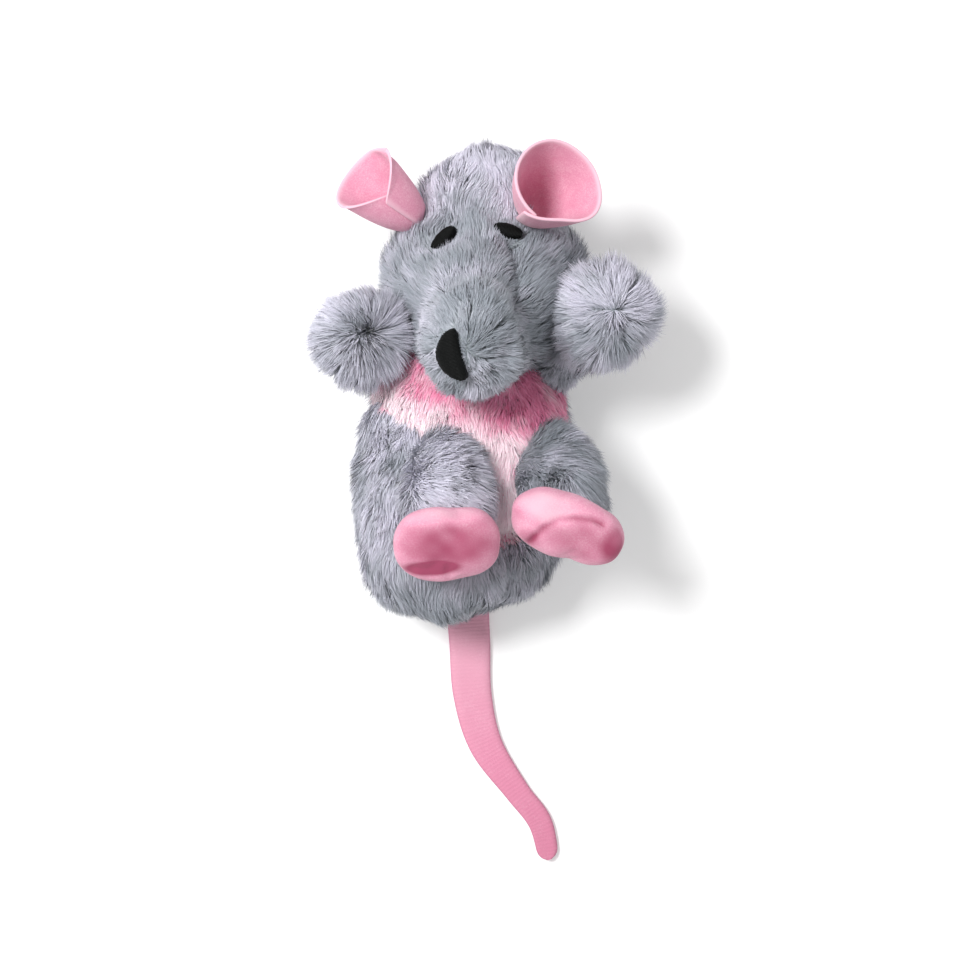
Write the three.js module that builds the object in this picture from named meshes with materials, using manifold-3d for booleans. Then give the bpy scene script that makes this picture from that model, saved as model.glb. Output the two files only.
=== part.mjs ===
// A plush catnip mouse lying on its back: sewn fur panels over fibre filling, a catnip sachet in
// the trunk, and a head, arms, legs, feet, ears and tail that bend at their seams.
// Millimetres. +Z up, out of the belly, +Y towards the crown and +X to the mouse's own left.
// The origin is on the flat of the back, where the trunk rests.
import * as THREE from "three";
import { mergeVertices } from "three/addons/utils/BufferGeometryUtils.js";
import Module from "manifold-3d";

const wasm = await Module();
wasm.setup();

// Cloth and clearances
const PLUSH = 4.5; // backing cloth and pile, pressed
const VELOUR = 1.4;
const SACHET_CLOTH = 0.8;
const STITCH_HEIGHT = 1.1;
const SEAM_GAP = 0.3;
const REST_CUT = 0.5; // how deep the flats of the back and of the head are pressed
const OVERRUN = 200; // how far a cutting block reaches past what it cuts

// Trunk, from the neck to the seat
const TRUNK = {
  neck: [0, 42],
  waist: [-6.5, 8],
  seat: [-3.5, -33],
  halfWidth: 28.5,
  halfDepth: 22.5,
  squareness: 2.2,
  fullness: 0.6,
  widthShares: [1.12, 1.02, 0.98, 1.0, 1.04, 1.04],
  depthShares: [0.92, 0.93, 0.98, 1.02, 1.04, 0.98],
};
const BELLY = { width: 54, tip: -12, tipWidth: 8, tipAside: 5.5, waist: 6, chest: 24 };
const FLANK_SEAM_SHARE = 0.92; // height of the side seams, as a share of the trunk's half depth
const SACHET = {
  length: 30,
  halfWidth: 11,
  halfDepth: 6,
  squareness: 2.6,
  fullness: 0.7,
  placeShare: 0.5,
};

// Head, from the crown over the cheeks to the nose
const HEAD = {
  crown: [2.5, 91, 20.5],
  brow: [3.5, 43, 7.4],
  snout: [-2.5, 35, 70],
  halfWidth: 27.5,
  halfDepth: 22,
  squareness: 2.05,
  fullness: 0.7,
  widthShares: [0.95, 0.86, 1.02, 0.86, 0.64, 0.82],
  depthShares: [0.95, 0.98, 1.0, 0.88, 0.78, 1.05],
};
const NECK = {
  plugRadius: 11,
  columnRadius: 9,
  columnShare: 0.45,
  sinkShare: 0.03,
  nodBack: -8,
  nodForward: 12,
};
const CHEEK_GAP = 0.8; // between the head and the arms, so that they pass as the head nods
const EYE = { length: 7.2, width: 4.2, bow: 0 };
const EYE_PLACES = {
  left: { share: 0.45, turn: 78, roll: -20 },
  right: { share: 0.51, turn: 114, roll: 34 },
};
const NOSE = { length: 12.6, width: 6.8, bow: -2.2, share: 0.998, turn: 196, roll: -2 };

// Limbs: each filling ends in a round plug, which sits in a hollow of the part that carries it
const ARM = { root: 9, plugRadius: 5, sink: 3, bendDown: 25 };
const LIMB_FULLNESS = 0.7; // under 1, the ends of a form are blunter than an ellipsoid's
const ARM_SHARES = [0.6, 0.6, 0.64, 0.86, 1.08, 1.06];
const ARM_PLACES = {
  left: {
    share: 0.06,
    turn: 10,
    aim: [0.725, 0.65, 0.223],
    upper: 21.5,
    tipAim: [0.2, 0.1, 0.97],
    lower: 20,
    radius: 14,
  },
  right: {
    share: 0.09,
    turn: 165,
    aim: [-0.943, 0.21, 0.25],
    upper: 14.4,
    tipAim: [0.3, 0.1, 0.95],
    lower: 20,
    radius: 13,
  },
};
const LEG = { root: 8, plugRadius: 5, sink: 3, bendOut: 28 };
const LEG_SHARES = [0.9, 0.98, 1.0, 0.96, 0.9, 0.86];
const LEG_PLACES = {
  left: {
    share: 0.42,
    turn: 28,
    aim: [0.18, -0.73, 0.66],
    upper: 13,
    tipAim: [0.18, -0.73, 0.66],
    lower: 13.5,
    radius: 13,
  },
  right: {
    share: 0.46,
    turn: 97,
    aim: [-0.02, -0.93, 0.38],
    upper: 12,
    tipAim: [-0.02, -0.93, 0.38],
    lower: 12.1,
    radius: 12.6,
  },
};
const FOOT = {
  halfDepth: 6.6,
  squareness: 2.3,
  fullness: 0.7,
  widthShares: [0.96, 1.04, 1.02, 0.98, 1.0, 0.92],
  depthShares: [0.95, 1.05, 1.0, 0.92, 0.96, 0.95],
  ankleRadius: 4.6,
  sinkShare: 0.45,
  seamShare: 0.1,
  bend: 14,
};
const FOOT_PLACES = {
  left: {
    long: [0.94, -0.34, 0.02],
    sole: [0.22, -0.42, 0.88],
    length: 29.5,
    halfWidth: 8.8,
    bow: 1.6,
    slideShare: 0,
  },
  right: {
    long: [0.995, 0.05, 0],
    sole: [0.02, -0.22, 0.97],
    length: 27.6,
    halfWidth: 9.9,
    bow: 0.4,
    slideShare: 0.02,
  },
};

// Ears, each one piece of velour rolled into a cup
const EAR = { plugRadius: 2.7, sink: 1.1, rootRadius: 2.2, fullness: 0.6, bend: 10 };
const EAR_PLACES = {
  left: {
    share: 0.2,
    turn: 58,
    aim: [0.36, 0.27, 0.89],
    facing: [-0.6, -0.75, 0.3],
    length: 21,
    mouthRadius: 10.9,
    rimDropShare: 0.16,
    closedShare: 0,
    rootWrap: 320,
    mouthWrap: 300,
  },
  right: {
    share: 0.26,
    turn: 146,
    aim: [-0.8, 0.59, 0.2],
    facing: [0.18, -0.1, 0.98],
    length: 21,
    mouthRadius: 9.8,
    rimDropShare: 0.16,
    closedShare: 0.36,
    rootWrap: 345,
    mouthWrap: 200,
  },
};

// Tail, a flat strip of doubled velour in three lengths that bend where they meet
const TAIL = {
  reach: 73,
  width: 11.2,
  thickness: 2.4,
  share: 0.9,
  aside: -2.7,
  liftRoot: 35,
  lift: 45,
  droop: 15,
  clearance: 0.2,
  fallShare: 0.78,
  roundedShare: 0.03,
  bluntShare: 0.35,
};
const TAIL_ASIDE_SHARES = [0, 0, 0.006, 0.015, 0.063, 0.18, 0.263, 0.298];
const TAIL_ALONG_SHARES = [0, 0.1, 0.21, 0.39, 0.574, 0.75, 0.861, 1];
const TAIL_WIDTH_SHARES = [1, 1, 0.98, 0.92, 0.8, 0.6, 0.57, 0.5];
const TAIL_JOINT_SHARES = [0, 0.36, 0.68, 1];
const TAIL_STEPS = [7, 7, 10]; // rings in each length

// How finely the surfaces are laid out
const SIDES = 24;
const RINGS = 13;
const LIMB_SIDES = 16;
const LIMB_RINGS = 8;
const FOOT_SIDES = 18;
const FOOT_RINGS = 9;
const HIDDEN_SIDES = 12;
const HIDDEN_RINGS = 7;
const EAR_STEPS = { round: 12, along: 6 };
const SMALL_STEP_SHARE = 0.002;

const vector = (list) => new THREE.Vector3(...list);
const direction = (list) => vector(list).normalize();
const radians = THREE.MathUtils.degToRad;

// A closed geometry as a solid that can be cut and joined.
function solidOf(geometry, matrix = new THREE.Matrix4()) {
  const bare = geometry.index ? geometry.toNonIndexed() : geometry.clone();
  bare.deleteAttribute("normal");
  bare.deleteAttribute("uv");
  const merged = mergeVertices(bare.applyMatrix4(matrix));
  const vertProperties = merged.attributes.position.array;
  const triVerts = new Uint32Array(merged.index.array);
  return new wasm.Manifold(new wasm.Mesh({ numProp: 3, vertProperties, triVerts }));
}

function geometryOf(solid) {
  const mesh = solid.getMesh();
  const geometry = new THREE.BufferGeometry();
  geometry.setAttribute("position", new THREE.BufferAttribute(mesh.vertProperties, 3));
  geometry.setIndex(new THREE.BufferAttribute(mesh.triVerts, 1));
  const flat = geometry.toNonIndexed();
  flat.computeVertexNormals();
  return flat;
}

// Shares at even steps along a form, joined by one smooth line.
function smoothShares(shares) {
  const points = shares.map((value, i) => new THREE.Vector2(i / (shares.length - 1), value));
  const line = new THREE.SplineCurve(points);
  return (share) => line.getPoint(THREE.MathUtils.clamp(share, 0, 1)).y;
}

// Rings of points between two end points, as one closed geometry.
function closedRings(start, rings, end) {
  const sides = rings[0].length;
  const positions = [start, ...rings.flat(), end].flatMap((p) => p.toArray());
  const at = (ring, side) => 1 + ring * sides + (side % sides);
  const last = 1 + rings.length * sides;
  const index = [];
  for (let side = 0; side < sides; side++) {
    index.push(0, at(0, side + 1), at(0, side));
    index.push(last, at(rings.length - 1, side), at(rings.length - 1, side + 1));
    for (let ring = 0; ring < rings.length - 1; ring++) {
      index.push(at(ring, side), at(ring + 1, side + 1), at(ring + 1, side));
      index.push(at(ring, side), at(ring, side + 1), at(ring + 1, side + 1));
    }
  }
  const geometry = new THREE.BufferGeometry();
  geometry.setAttribute("position", new THREE.Float32BufferAttribute(positions, 3));
  geometry.setIndex(index);
  return geometry;
}

// A stuffed form: rings round a spine that swell and taper. share runs from 0 to 1 along the spine,
// turn is in degrees from the side vector towards the front, and grow moves the surface outwards.
function stuffedForm(size) {
  const { spine, side, halfWidth, halfDepth, fullness } = size;
  const { squareness = 2, sides = SIDES, rings = RINGS } = size;
  const widthAt = smoothShares(size.widthShares);
  const depthAt = smoothShares(size.depthShares);
  const power = 2 / squareness;
  const bulge = (value) => Math.sign(value) * Math.abs(value) ** power;

  function point(share, turn, grow = 0) {
    const along = spine.getTangent(share);
    const across = side.clone().addScaledVector(along, -side.dot(along)).normalize();
    const front = along.clone().cross(across);
    const cos = 1 - 2 * share;
    const sin = Math.sqrt(Math.max(0, 1 - cos * cos));
    const full = sin ** fullness;
    const wide = halfWidth * widthAt(share) * full + grow * sin;
    const deep = halfDepth * depthAt(share) * full + grow * sin;
    return spine
      .getPoint(share)
      .addScaledVector(along, -cos * grow)
      .addScaledVector(across, wide * bulge(Math.cos(radians(turn))))
      .addScaledVector(front, deep * bulge(Math.sin(radians(turn))));
  }

  function layered(grow, sideCount, ringCount) {
    const loops = [];
    for (let ring = 1; ring < ringCount; ring++) {
      const share = (1 - Math.cos((Math.PI * ring) / ringCount)) / 2;
      const turns = Array.from({ length: sideCount }, (_, i) => (360 * i) / sideCount);
      loops.push(turns.map((turn) => point(share, turn, grow)));
    }
    return solidOf(closedRings(point(0, 0, grow), loops, point(1, 0, grow)));
  }

  // The outer surface, and the coarser one under the cloth that the filling presses against.
  const solid = (grow = 0) => layered(grow, sides, rings);
  const hidden = (grow) => layered(grow, HIDDEN_SIDES, HIDDEN_RINGS);

  // A point on the surface with its outward normal and the direction towards the form's end.
  function place(share, turn) {
    const step = SMALL_STEP_SHARE;
    const down = point(share + step, turn).sub(point(share - step, turn)).normalize();
    const round = point(share, turn + 1).sub(point(share, turn - 1)).normalize();
    return { point: point(share, turn), normal: round.clone().cross(down).normalize(), down, round };
  }

  return { point, solid, hidden, place, spine };
}

function ball(centre, radius, sides = HIDDEN_SIDES) {
  const shape = new THREE.SphereGeometry(radius, sides, (2 * sides) / 3);
  return solidOf(shape, new THREE.Matrix4().setPosition(centre));
}

// A block whose one face passes through point, on the side that normal points to.
function halfSpace(point, normal) {
  const turned = new THREE.Quaternion().setFromUnitVectors(new THREE.Vector3(0, 0, 1), normal);
  const centre = point.clone().addScaledVector(normal, OVERRUN / 2);
  const unit = new THREE.Vector3(1, 1, 1);
  const matrix = new THREE.Matrix4().compose(centre, turned, unit);
  return solidOf(new THREE.BoxGeometry(OVERRUN, OVERRUN, OVERRUN), matrix);
}

function rod(from, to, radius) {
  const along = to.clone().sub(from);
  const shape = new THREE.CylinderGeometry(radius, radius, along.length(), LIMB_SIDES);
  const up = new THREE.Vector3(0, 1, 0);
  const turned = new THREE.Quaternion().setFromUnitVectors(up, along.clone().normalize());
  const centre = from.clone().lerp(to, 0.5);
  return solidOf(shape, new THREE.Matrix4().compose(centre, turned, new THREE.Vector3(1, 1, 1)));
}

// A solid turned about a hinge by an angle in degrees.
function turnedAbout(solid, hinge, degrees) {
  const { pos, axis } = hinge;
  const matrix = new THREE.Matrix4()
    .makeTranslation(pos.x, pos.y, pos.z)
    .multiply(new THREE.Matrix4().makeRotationAxis(axis, radians(degrees)))
    .multiply(new THREE.Matrix4().makeTranslation(-pos.x, -pos.y, -pos.z));
  return solid.transform(matrix.toArray());
}

// Takes away what the neighbour would meet as the part bends, so that it clears it over its range.
function clearOf(part, neighbour, hinge) {
  return [hinge.low, 0, hinge.high].reduce(
    (left, degrees) => left.subtract(turnedAbout(neighbour, hinge, -degrees)),
    part,
  );
}

const plush = (name, color) =>
  new THREE.MeshStandardMaterial({ name, color, roughness: 0.95, metalness: 0 });
const greyPlush = plush("grey_plush", "#a7a7b1");
const pinkPlush = plush("pink_plush", "#ee9fbf");
const pinkVelour = plush("pink_velour", "#ee98b8");
const filling = plush("fibre_filling", "#f1efe8");
const sachetCotton = plush("sachet_cotton", "#e6dfcd");
const driedCatnip = plush("dried_catnip", "#7d8552");
const blackThread = plush("black_thread", "#15201a");

const mouse = new THREE.Group();
mouse.name = "catnip_mouse";

function addPart(name, solid, material) {
  const mesh = new THREE.Mesh(geometryOf(solid), material);
  mesh.name = name;
  mouse.add(mesh);
}

// Forms of the trunk and the head

const left = new THREE.Vector3(1, 0, 0);
const trunkHeight = TRUNK.halfDepth - REST_CUT;
const trunkLine = [TRUNK.neck, TRUNK.waist, TRUNK.seat];
const trunkPoints = trunkLine.map(([x, y]) => vector([x, y, trunkHeight]));
const trunk = stuffedForm({
  ...TRUNK,
  spine: new THREE.QuadraticBezierCurve3(...trunkPoints),
  side: left,
});

const headSpine = new THREE.QuadraticBezierCurve3(...[HEAD.crown, HEAD.brow, HEAD.snout].map(vector));
const head = stuffedForm({ ...HEAD, spine: headSpine, side: left });

const origin = new THREE.Vector3();
const up = new THREE.Vector3(0, 0, 1);
const aboveTable = halfSpace(origin, up);

// Hinges: a place, an axis and a range in degrees

const neckHinge = {
  pos: trunk.spine.getPoint(NECK.sinkShare),
  axis: left,
  low: NECK.nodBack,
  high: NECK.nodForward,
};

const both = ["left", "right"];

// The centre of a limb's plug, sunk below the trunk's surface.
function socketCentre(place, sink) {
  const { point, normal } = trunk.place(place.share, place.turn);
  return point.addScaledVector(normal, -sink);
}

function shoulderHinge(side) {
  const low = side === "left" ? -ARM.bendDown : 0;
  const high = side === "left" ? 0 : ARM.bendDown;
  return { pos: socketCentre(ARM_PLACES[side], ARM.sink), axis: up, low, high };
}

function hipHinge(side) {
  return { pos: socketCentre(LEG_PLACES[side], LEG.sink), axis: left, low: -LEG.bendOut, high: 0 };
}

const hinges = { neck: neckHinge };
for (const side of both) {
  hinges[side + "_shoulder"] = shoulderHinge(side);
  hinges[side + "_hip"] = hipHinge(side);
}

// Arms and legs

function limbForm(hinge, place, size, shares) {
  const aim = direction(place.aim);
  const tipAim = direction(place.tipAim);
  const root = hinge.pos.clone().addScaledVector(aim, -size.root);
  const middle = hinge.pos.clone().addScaledVector(aim, place.upper);
  const tip = middle.clone().addScaledVector(tipAim, place.lower);
  return stuffedForm({
    spine: new THREE.QuadraticBezierCurve3(root, middle, tip),
    side: left,
    halfWidth: place.radius,
    halfDepth: place.radius,
    fullness: LIMB_FULLNESS,
    widthShares: shares,
    depthShares: shares,
    sides: LIMB_SIDES,
    rings: LIMB_RINGS,
  });
}

const arms = {};
const legs = {};
for (const side of both) {
  arms[side] = limbForm(hinges[side + "_shoulder"], ARM_PLACES[side], ARM, ARM_SHARES);
  legs[side] = limbForm(hinges[side + "_hip"], LEG_PLACES[side], LEG, LEG_SHARES);
}

// Feet, carried at the ankle on the far end of each leg

function footForm(name) {
  const place = FOOT_PLACES[name];
  const long = direction(place.long);
  const sole = direction(place.sole);
  sole.addScaledVector(long, -sole.dot(long)).normalize();
  const leg = legs[name].spine;
  const ankle = leg.v2.clone().addScaledVector(leg.getTangent(1), -FOOT.ankleRadius / 2);
  const centre = ankle
    .clone()
    .addScaledVector(sole, FOOT.halfDepth * (1 - FOOT.sinkShare) + FOOT.ankleRadius / 2)
    .addScaledVector(long, place.length * place.slideShare);
  const side = sole.clone().cross(long).negate();
  const heel = centre.clone().addScaledVector(long, -place.length / 2);
  const toe = centre.clone().addScaledVector(long, place.length / 2);
  const arch = centre.clone().addScaledVector(side, -2 * place.bow);
  const form = stuffedForm({
    ...FOOT,
    halfWidth: place.halfWidth,
    spine: new THREE.QuadraticBezierCurve3(heel, arch, toe),
    side,
    sides: FOOT_SIDES,
    rings: FOOT_RINGS,
  });
  hinges[name + "_ankle"] = { pos: ankle, axis: long, low: -FOOT.bend, high: FOOT.bend };
  return { form, sole, centre };
}

const feet = { left: footForm("left"), right: footForm("right") };

// Ears: a sheet rolled round an axis, closed at the root and open at the mouth

function earSheet(place, root) {
  const aim = direction(place.aim);
  const facing = direction(place.facing);
  facing.addScaledVector(aim, -facing.dot(aim)).normalize();
  const across = facing.clone().cross(aim);
  const half = VELOUR / 2;

  function point(round, along, lift) {
    const opened = Math.max(0, along - place.closedShare) / (1 - place.closedShare);
    const wrap = radians(THREE.MathUtils.lerp(place.rootWrap, place.mouthWrap, opened));
    const widened = along ** EAR.fullness;
    const radius = THREE.MathUtils.lerp(EAR.rootRadius, place.mouthRadius, widened) + lift;
    const angle = (round * wrap) / 2;
    const reach = place.length * along * (1 - place.rimDropShare * round * round);
    return root
      .clone()
      .addScaledVector(aim, reach)
      .addScaledVector(across, radius * Math.sin(angle))
      .addScaledVector(facing, -radius * Math.cos(angle));
  }

  const loops = [];
  for (let step = 0; step <= EAR_STEPS.along; step++) {
    const along = step / EAR_STEPS.along;
    const rounds = Array.from({ length: EAR_STEPS.round + 1 }, (_, i) => (2 * i) / EAR_STEPS.round - 1);
    const outside = rounds.map((round) => point(round, along, half));
    const inside = rounds.map((round) => point(round, along, -half)).reverse();
    loops.push([...outside, ...inside]);
  }
  return { loops, across };
}

// Rings with flat ends: each end is a strip between the sheet's two faces.
function closedSheet(loops) {
  const sides = loops[0].length;
  const positions = loops.flat().flatMap((p) => p.toArray());
  const at = (loop, side) => loop * sides + (side % sides);
  const index = [];
  for (let loop = 0; loop < loops.length - 1; loop++) {
    for (let side = 0; side < sides; side++) {
      index.push(at(loop, side), at(loop, side + 1), at(loop + 1, side + 1));
      index.push(at(loop, side), at(loop + 1, side + 1), at(loop + 1, side));
    }
  }
  const last = loops.length - 1;
  for (let side = 0; side < sides / 2 - 1; side++) {
    const facing = sides - 1 - side;
    index.push(at(0, side), at(0, facing), at(0, side + 1));
    index.push(at(0, side + 1), at(0, facing), at(0, facing - 1));
    index.push(at(last, side), at(last, side + 1), at(last, facing));
    index.push(at(last, side + 1), at(last, facing - 1), at(last, facing));
  }
  const geometry = new THREE.BufferGeometry();
  geometry.setAttribute("position", new THREE.Float32BufferAttribute(positions, 3));
  geometry.setIndex(index);
  return solidOf(geometry);
}

const ears = {};
for (const side of both) {
  const place = EAR_PLACES[side];
  const { point, normal } = head.place(place.share, place.turn);
  const root = point.addScaledVector(normal, -EAR.sink);
  const { loops, across } = earSheet(place, root);
  ears[side] = closedSheet(loops);
  hinges[side + "_ear"] = { pos: root, axis: across, low: -EAR.bend, high: EAR.bend };
}

// Trunk: four plush panels, two wads of filling, and the sachet between them

const trunkSockets = both
  .flatMap((side) => [
    ball(hinges[side + "_shoulder"].pos, ARM.plugRadius + SEAM_GAP),
    ball(hinges[side + "_hip"].pos, LEG.plugRadius + SEAM_GAP),
  ])
  .reduce((all, one) => all.add(one), ball(neckHinge.pos, NECK.plugRadius + SEAM_GAP, SIDES));

// The belly panel's outline, seen from the front: wide at the chest and drawn in between the legs.
function bellyPrism(grow) {
  const top = TRUNK.neck[1] + NECK.plugRadius;
  const tip = BELLY.tip - grow;
  const wide = BELLY.width / 2 + grow;
  const tipLeft = BELLY.tipAside + BELLY.tipWidth / 2 + grow;
  const tipRight = BELLY.tipAside - BELLY.tipWidth / 2 - grow;
  const outline = new THREE.Shape()
    .moveTo(-wide, top)
    .lineTo(-wide, BELLY.chest)
    .quadraticCurveTo((tipRight - wide) / 2, BELLY.waist, tipRight, tip)
    .lineTo(tipLeft, tip)
    .quadraticCurveTo((tipLeft + wide) / 2, BELLY.waist, wide, BELLY.chest)
    .lineTo(wide, top);
  const shape = new THREE.ExtrudeGeometry(outline, {
    depth: OVERRUN,
    bevelEnabled: false,
    curveSegments: LIMB_RINGS,
  });
  const height = TRUNK.halfDepth * FLANK_SEAM_SHARE;
  return solidOf(shape, new THREE.Matrix4().makeTranslation(0, 0, height - grow));
}

function tailStrip() {
  const root = trunk.point(TAIL.share, 270).setX(TAIL.aside);
  const half = TAIL.thickness / 2 + TAIL.clearance;
  const points = TAIL_ALONG_SHARES.map((along, i) => {
    const x = root.x + TAIL.reach * TAIL_ASIDE_SHARES[i];
    return new THREE.Vector3(x, root.y - TAIL.reach * along, i === 0 ? root.z : half);
  });
  points[1].z = THREE.MathUtils.lerp(root.z, half, TAIL.fallShare);
  return new THREE.CatmullRomCurve3(points, false, "centripetal");
}

const tailLine = tailStrip();
const tailWidthAt = smoothShares(TAIL_WIDTH_SHARES);

function tailFrame(share) {
  const along = tailLine.getTangent(share);
  const across = along.clone().cross(up).normalize();
  return { centre: tailLine.getPoint(share), across, lift: across.clone().cross(along) };
}

// One length of the strip, with a section of rounded edges.
function tailLength(from, to, steps) {
  const half = TAIL.thickness / 2;
  const edge = half * Math.SQRT1_2;
  const loops = [];
  for (let step = 0; step <= steps; step++) {
    const share = THREE.MathUtils.lerp(from, to, step / steps);
    const { centre, across, lift } = tailFrame(share);
    const past = Math.max(0, 1 - (1 - share) / TAIL.roundedShare);
    const roundShare = Math.max(TAIL.bluntShare, Math.sqrt(Math.max(0, 1 - past * past)));
    const wide = (TAIL.width / 2) * tailWidthAt(share) * roundShare;
    const section = [
      [wide - half, half],
      [wide - half + edge, edge],
      [wide, 0],
      [wide - half + edge, -edge],
      [wide - half, -half],
      [half - wide, -half],
      [half - edge - wide, -edge],
      [-wide, 0],
      [half - edge - wide, edge],
      [half - wide, half],
    ];
    loops.push(
      section.map(([x, z]) => centre.clone().addScaledVector(across, x).addScaledVector(lift, z)),
    );
  }
  const middle = (loop) =>
    loop.reduce((sum, p) => sum.add(p), new THREE.Vector3()).divideScalar(loop.length);
  return solidOf(closedRings(middle(loops[0]), loops, middle(loops.at(-1))));
}

function tailKnuckle(share, radius) {
  const { centre, across } = tailFrame(share);
  const overhang = 2 * radius - TAIL.thickness - TAIL.thickness / 4;
  const half = (TAIL.width / 2) * tailWidthAt(share) + overhang;
  const from = centre.clone().addScaledVector(across, -half);
  return rod(from, centre.clone().addScaledVector(across, half), radius);
}

const tailNames = ["tail_root", "tail_middle", "tail_tip"];
tailNames.forEach((name, i) => {
  const { centre, across } = tailFrame(TAIL_JOINT_SHARES[i]);
  const [low, high] = i === 0 ? [0, TAIL.liftRoot] : [-TAIL.droop, TAIL.lift];
  hinges[name] = { pos: centre, axis: across, low, high };
});

// The slit in the seat that the tail is sewn into, wide enough for it to lift.
function tailSlot() {
  const { pos, axis, low, high } = hinges.tail_root;
  const size = [TAIL.width + 2 * SEAM_GAP, TAIL.width, TAIL.thickness + 2 * SEAM_GAP];
  const { centre, across, lift } = tailFrame(0);
  const along = lift.clone().cross(across);
  const start = centre.clone().addScaledVector(along, TAIL.width / 2);
  const matrix = new THREE.Matrix4()
    .makeBasis(across, along, across.clone().cross(along))
    .setPosition(start);
  const block = solidOf(new THREE.BoxGeometry(...size), matrix);
  const hinge = { pos, axis };
  return [low, (low + high) / 2, high].reduce(
    (all, degrees) => all.add(turnedAbout(block, hinge, degrees)),
    tailKnuckle(0, TAIL.thickness / 2 + SEAM_GAP),
  );
}

function addTrunk() {
  const slot = tailSlot();
  const outside = trunk.solid().intersect(aboveTable).subtract(trunkSockets).subtract(slot);
  const shell = outside.subtract(trunk.hidden(-PLUSH));
  const inside = trunk.hidden(-PLUSH - SEAM_GAP).subtract(trunkSockets).subtract(slot);
  const seamHeight = new THREE.Vector3(0, 0, TRUNK.halfDepth * FLANK_SEAM_SHARE);
  const front = halfSpace(seamHeight, up);
  const back = halfSpace(seamHeight.clone().setZ(seamHeight.z - SEAM_GAP), up.clone().negate());
  const right = left.clone().negate();
  const flanks = shell.intersect(front).subtract(bellyPrism(SEAM_GAP));
  const middle = trunk.spine.getPoint(1);
  const leftOfSeam = halfSpace(middle.clone().addScaledVector(left, SEAM_GAP / 2), left);
  const rightOfSeam = halfSpace(middle.clone().addScaledVector(right, SEAM_GAP / 2), right);
  addPart("back_panel", shell.intersect(back), greyPlush);
  addPart("belly_panel", shell.intersect(bellyPrism(0)), pinkPlush);
  addPart("left_flank_panel", flanks.intersect(leftOfSeam), greyPlush);
  addPart("right_flank_panel", flanks.intersect(rightOfSeam), greyPlush);

  const sachetCentre = trunk.spine.getPoint(SACHET.placeShare);
  const reach = new THREE.Vector3(0, SACHET.length / 2, 0);
  const sachet = stuffedForm({
    ...SACHET,
    spine: new THREE.LineCurve3(sachetCentre.clone().add(reach), sachetCentre.clone().sub(reach)),
    side: left,
    widthShares: [1, 1],
    depthShares: [1, 1],
    sides: HIDDEN_SIDES,
    rings: HIDDEN_RINGS,
  });
  const frontHalf = halfSpace(sachetCentre.clone().addScaledVector(up, SEAM_GAP / 2), up);
  const backHalf = halfSpace(
    sachetCentre.clone().addScaledVector(up, -SEAM_GAP / 2),
    up.clone().negate(),
  );
  const wad = inside.subtract(sachet.solid(SEAM_GAP));
  addPart("front_filling", wad.intersect(frontHalf), filling);
  addPart("back_filling", wad.intersect(backHalf), filling);
  const sachetShell = sachet.solid().subtract(sachet.solid(-SACHET_CLOTH));
  addPart("sachet_front", sachetShell.intersect(frontHalf), sachetCotton);
  addPart("sachet_back", sachetShell.intersect(backHalf), sachetCotton);
  addPart("catnip", sachet.solid(-SACHET_CLOTH - SEAM_GAP), driedCatnip);
}

// A flat patch of stitches that follows a form's surface: an oval, or a bean where it has a bow.
function stitchedPatch(form, place, size) {
  const { point, normal, round } = form.place(place.share, place.turn);
  const rim = Array.from({ length: LIMB_SIDES }, (_, i) => {
    const angle = (2 * Math.PI * i) / LIMB_SIDES;
    const bowed = size.bow * Math.cos(angle) ** 2 - size.bow / 2;
    const x = (size.length / 2) * Math.cos(angle);
    return new THREE.Vector2(x, (size.width / 2) * Math.sin(angle) + bowed);
  });
  const shape = new THREE.ExtrudeGeometry(new THREE.Shape(rim), {
    depth: size.length * 2,
    bevelEnabled: false,
  });
  shape.translate(0, 0, -size.length);
  const across = round.clone().negate();
  const matrix = new THREE.Matrix4()
    .makeBasis(across, normal.clone().cross(across), normal)
    .multiply(new THREE.Matrix4().makeRotationZ(radians(place.roll)))
    .setPosition(point);
  const layer = form.solid(SEAM_GAP + STITCH_HEIGHT).subtract(form.solid(SEAM_GAP));
  return layer.intersect(solidOf(shape, matrix));
}

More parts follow.
